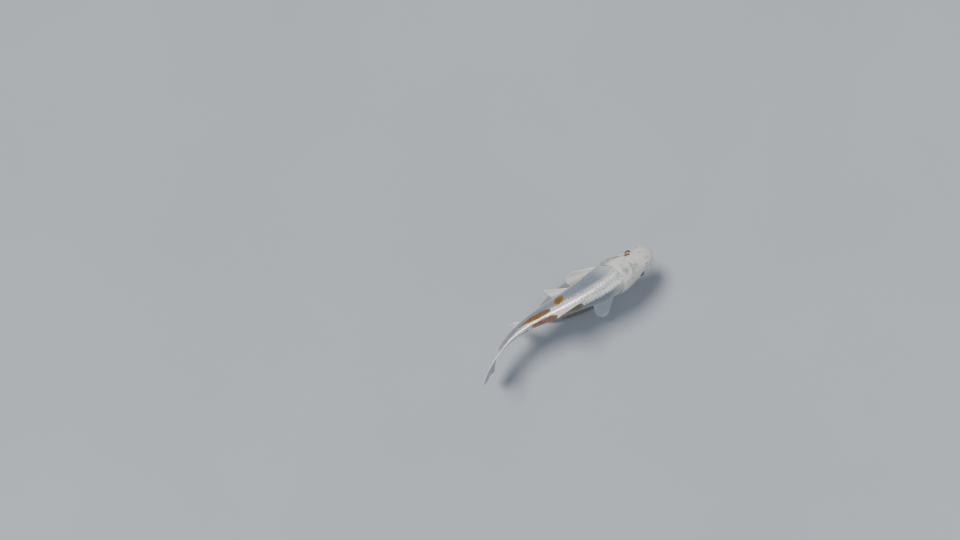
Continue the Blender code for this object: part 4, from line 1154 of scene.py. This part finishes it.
def scale_material():
    t = Tree("koi_scale")
    fish, col, mid, fine, mark = koi_colour(t, True)
    u, v = t.attr("sc_u"), t.attr("sc_v")
    tone, low = t.attr("sc_tone"), t.attr("sc_side")
    pearl = t.math("MULTIPLY", t.step(tone, -1.0, 1.0, 0.55, 0.95), t.step(low, 0.0, 1.0, 1.0, 0.12))
    marked = t.math("MAXIMUM", t.step(t.attr("m_orange"), -1.0, 1.0), t.step(t.attr("m_brown"), -1.0, 1.0))
    pearl = t.math("MULTIPLY", pearl, t.step(marked, 0.0, 1.0, 1.0, 0.06))
    apart = t.t.nodes.new("ShaderNodeSeparateXYZ")
    t.put(apart.inputs[0], fish)
    # the scales' silver fades towards the tail stem, part of the painted shade there
    pearl = t.math("MULTIPLY", pearl, t.step(apart.outputs[1], 0.225, 0.270, 1.0, 0.20))
    pearl = t.math("MULTIPLY", pearl, t.step(v, 0.30, 0.72, 0.30, 1.0))
    col = t.mix(pearl, col, (0.90, 0.91, 0.90))
    # painted shade: at each scale's uncovered front corners, and a shadow crescent just behind the last scale's rear
    # edge
    pocket_shade = t.math("MULTIPLY", t.step(v, 0.68, 0.50), t.step(t.math("ABSOLUTE", u), 0.40, 0.80))
    patchy = t.step(t.noise(fish, 95.0, 2.0), 0.42, 0.60, 0.15, 1.0)
    pocket_shade = t.math("MULTIPLY", pocket_shade, t.math("MULTIPLY", patchy, t.step(tone, -0.8, 0.6, 0.35, 1.0)))
    pocket_shade = t.math("MAXIMUM", pocket_shade, t.math("MULTIPLY", patchy, t.step(v, 0.56, 0.44, 0.0, 0.45)))
    pocket_shade = t.math("MULTIPLY", pocket_shade, t.step(marked, 0.0, 1.0, 1.0, 0.45))
    col = t.mix(t.math("MULTIPLY", pocket_shade, t.step(low, 0.0, 1.0, 0.80, 0.30)), col, (0.085, 0.092, 0.115))
    rim = t.math("MAXIMUM", t.step(v, 0.93, 1.0), t.step(t.math("ABSOLUTE", u), 0.86, 1.0))
    col = t.mix(t.math("MULTIPLY", rim, 0.30), col, (0.34, 0.36, 0.39))
    # growth rings round the front, fine radial grooves behind
    d = t.math("SQRT", t.math("ADD", t.math("MULTIPLY", u, u), t.math("MULTIPLY", t.math("SUBTRACT", v, 0.25), t.math("SUBTRACT", v, 0.25))))
    rings = t.math("SINE", t.math("MULTIPLY", t.math("ADD", d, t.math("MULTIPLY", mid, 0.05)), 80.0))
    fan = t.math("SINE", t.math("MULTIPLY", t.math("ARCTAN2", u, t.math("SUBTRACT", v, 0.1)), 30.0))
    h = t.math("ADD", t.math("MULTIPLY", rings, 0.5), t.math("MULTIPLY", t.math("MULTIPLY", fan, t.step(v, 0.4, 0.8)), 0.35))
    n = t.bump(h, 0.00004, 0.45)
    # silvery where white, plain where pigment covers it
    t.set(Base_Color=col, Roughness=t.step(mid, 0.2, 0.8, 0.20, 0.33), Normal=n, Metallic=t.step(mark, 0.0, 1.0, 0.30, 0.04),
          Coat_Weight=t.step(mark, 0.0, 1.0, 0.40, 0.06), Coat_Roughness=0.12, Specular_IOR_Level=t.step(mark, 0.0, 1.0, 0.5, 0.22))
    return t.m


def eye_material():
    t = Tree("koi_eye")
    g, rd, fish = t.attr("gaze"), t.attr("round"), t.attr("fish", True)
    streak = t.noise(t.stretch(fish, (1.0, 1.0, 1.0)), 1500.0, 3.0, 0.6)
    radial = t.math("SINE", t.math("MULTIPLY", rd, 0.9))
    wob = t.math("MULTIPLY", t.math("SUBTRACT", streak, 0.5), 4.0)
    gg = t.math("ADD", g, wob)
    gold = t.mix(t.step(streak, 0.35, 0.65), (0.33, 0.185, 0.060), (0.60, 0.42, 0.19))
    gold = t.mix(t.math("MULTIPLY", t.step(radial, 0.2, 1.0), 0.30), gold, (0.12, 0.075, 0.035))
    above = t.math("SINE", t.math("MULTIPLY", rd, math.pi / 180.0))
    gold = t.mix(t.step(above, 0.05, 0.85, 0.0, 0.88), gold, (0.030, 0.026, 0.024))
    ring = t.mix(t.step(streak, 0.3, 0.7), (0.72, 0.46, 0.15), (0.85, 0.66, 0.33))
    col = t.mix(t.step(gg, 31.0, 33.0), (0.005, 0.005, 0.006), ring)
    col = t.mix(t.step(gg, 35.0, 38.5), col, gold)
    col = t.mix(t.step(gg, 55.0, 60.0), col, (0.055, 0.050, 0.048))
    col = t.mix(t.step(gg, 68.0, 74.0), col, (0.40, 0.40, 0.395))
    t.set(Base_Color=col, Roughness=t.step(streak, 0.2, 0.8, 0.05, 0.12), Coat_Weight=1.0, Coat_Roughness=0.03, Specular_IOR_Level=0.6)
    return t.m


def paint_material():
    t = Tree("stand_paint")
    co = t.t.nodes.new("ShaderNodeTexCoord").outputs["Object"]
    a, b = t.noise(co, 60.0, 4.0, 0.6), t.noise(co, 1400.0, 2.0, 0.5)
    col = t.mix(t.step(a, 0.3, 0.7), (0.185, 0.195, 0.210), (0.225, 0.235, 0.250))
    col = t.mix(t.step(t.noise(co, 300.0, 5.0, 0.7), 0.62, 0.72, 0.0, 0.25), col, (0.36, 0.37, 0.385))
    t.set(Base_Color=col, Roughness=t.step(a, 0.2, 0.8, 0.38, 0.50), Normal=t.bump(b, 0.00006, 0.6), Specular_IOR_Level=0.45)
    return t.m


def steel_material():
    t = Tree("stand_steel")
    co = t.t.nodes.new("ShaderNodeTexCoord").outputs["Object"]
    line = t.noise(t.stretch(co, (1.0, 1.0, 26.0)), 420.0, 3.0, 0.6)
    blot = t.noise(co, 90.0, 3.0, 0.6)
    col = t.mix(t.step(line, 0.3, 0.7), (0.52, 0.52, 0.53), (0.68, 0.68, 0.69))
    col = t.mix(t.step(blot, 0.55, 0.8, 0.0, 0.2), col, (0.42, 0.41, 0.40))
    t.set(Base_Color=col, Metallic=1.0, Roughness=t.step(line, 0.25, 0.75, 0.22, 0.38), Normal=t.bump(line, 0.00002, 0.4))
    return t.m


def floor_material():
    t = Tree("floor")
    co = t.t.nodes.new("ShaderNodeTexCoord").outputs["Object"]
    a = t.noise(co, 3.0, 3.0, 0.5)
    col = t.mix(t.step(a, 0.2, 0.8), (0.43, 0.465, 0.51), (0.46, 0.495, 0.54))
    t.set(Base_Color=col, Roughness=0.75)
    return t.m


skin_m, scale_m, eye_m = skin_material(), scale_material(), eye_material()
paint_m, steel_m = paint_material(), steel_material()


def dress(ob, m):
    ob.data.materials.clear()
    ob.data.materials.append(m)


dress(body, skin_m)
body.data.shade_smooth()
dress(scales_back, scale_m)
dress(scales_side, scale_m)
for ob in eyes:
    dress(ob, eye_m)
dress(plate, paint_m)
for ob in collars:
    dress(ob, steel_m)
for n in ("stand_rod_front", "stand_rod_rear"):
    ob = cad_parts[n]
    dress(ob, steel_m)
    ob.data.shade_smooth()
    ob.data.set_sharp_from_angle(angle=math.radians(35))

# ================================================================== what stands for what
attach(body, "root")
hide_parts("head", "upper_lip", "lower_lip", "lower_jaw", "gill_cover_left", "gill_cover_right",
            "trunk_front", "trunk_rear", "tail_stem", "barbel_front_left", "barbel_front_right",
            "barbel_rear_left", "barbel_rear_right", "dorsal_fin", "anal_fin", "caudal_fin_upper",
            "caudal_fin_lower", "pectoral_fin_left", "pectoral_fin_right", "pelvic_fin_left", "pelvic_fin_right")
for ob in (scales_back, scales_side):
    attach(ob, "root")
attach(plate, "root")
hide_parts("stand_base")
for ob in collars:
    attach(ob, "root")

# ================================================================== floor, light, camera
ring = [(40 * math.cos(k * math.pi / 48), 40 * math.sin(k * math.pi / 48), 0) for k in range(96)]
floor = mesh_object("floor", ring, [tuple(range(96))])
dress(floor, floor_material())

world = bpy.data.worlds.new("studio")
bpy.context.scene.world = world
world.use_nodes = True
world.node_tree.nodes["Background"].inputs["Color"].default_value = (0.82, 0.88, 0.97, 1)
world.node_tree.nodes["Background"].inputs["Strength"].default_value = 0.27


def area(name, place, aim, size, power, colour):
    light = bpy.data.lights.new(name, "AREA")
    light.shape, light.size, light.energy, light.color = "DISK", size, power, colour
    ob = bpy.data.objects.new(name, light)
    bpy.context.scene.collection.objects.link(ob)
    d = unit(np.asarray(aim) - np.asarray(place))
    ob.location = place
    z = -d
    x = unit(np.cross((0, 1, 0.01), z))
    y = np.cross(z, x)
    from mathutils import Matrix
    ob.matrix_world = Matrix(((x[0], y[0], z[0], place[0]), (x[1], y[1], z[1], place[1]), (x[2], y[2], z[2], place[2]), (0, 0, 0, 1)))
    return ob


sun = bpy.data.lights.new("key", "SUN")
sun.energy, sun.angle, sun.color = 3.0, math.radians(17.0), (1.0, 0.975, 0.94)
sun_ob = bpy.data.objects.new("key", sun)
bpy.context.scene.collection.objects.link(sun_ob)
sun_ob.rotation_euler = (math.radians(-10.0), math.radians(28.0), 0)
area("fill", (-1.3, -1.2, 1.1), (0, 0, 0.09), 1.6, 6.0, (0.86, 0.92, 1.0))
area("back", (-0.4, 1.6, 1.0), (0, 0, 0.09), 1.2, 4.5, (0.95, 0.97, 1.0))

cam = bpy.data.cameras.new("camera")
cam.sensor_width, cam.lens = 36.0, 1100.0 / 960.0 * 36.0
cam_ob = bpy.data.objects.new("camera", cam)
bpy.context.scene.collection.objects.link(cam_ob)
cam_ob.location = (0.1145, 0.1234, 1.8488)
cam_ob.rotation_euler = (0, 0, math.radians(-117.52))
bpy.context.scene.camera = cam_ob

for piece in (body, scales_back, scales_side, *eyes, plate):
    print(piece.name, "triangles", sum(len(p.vertices) - 2 for p in piece.data.polygons))
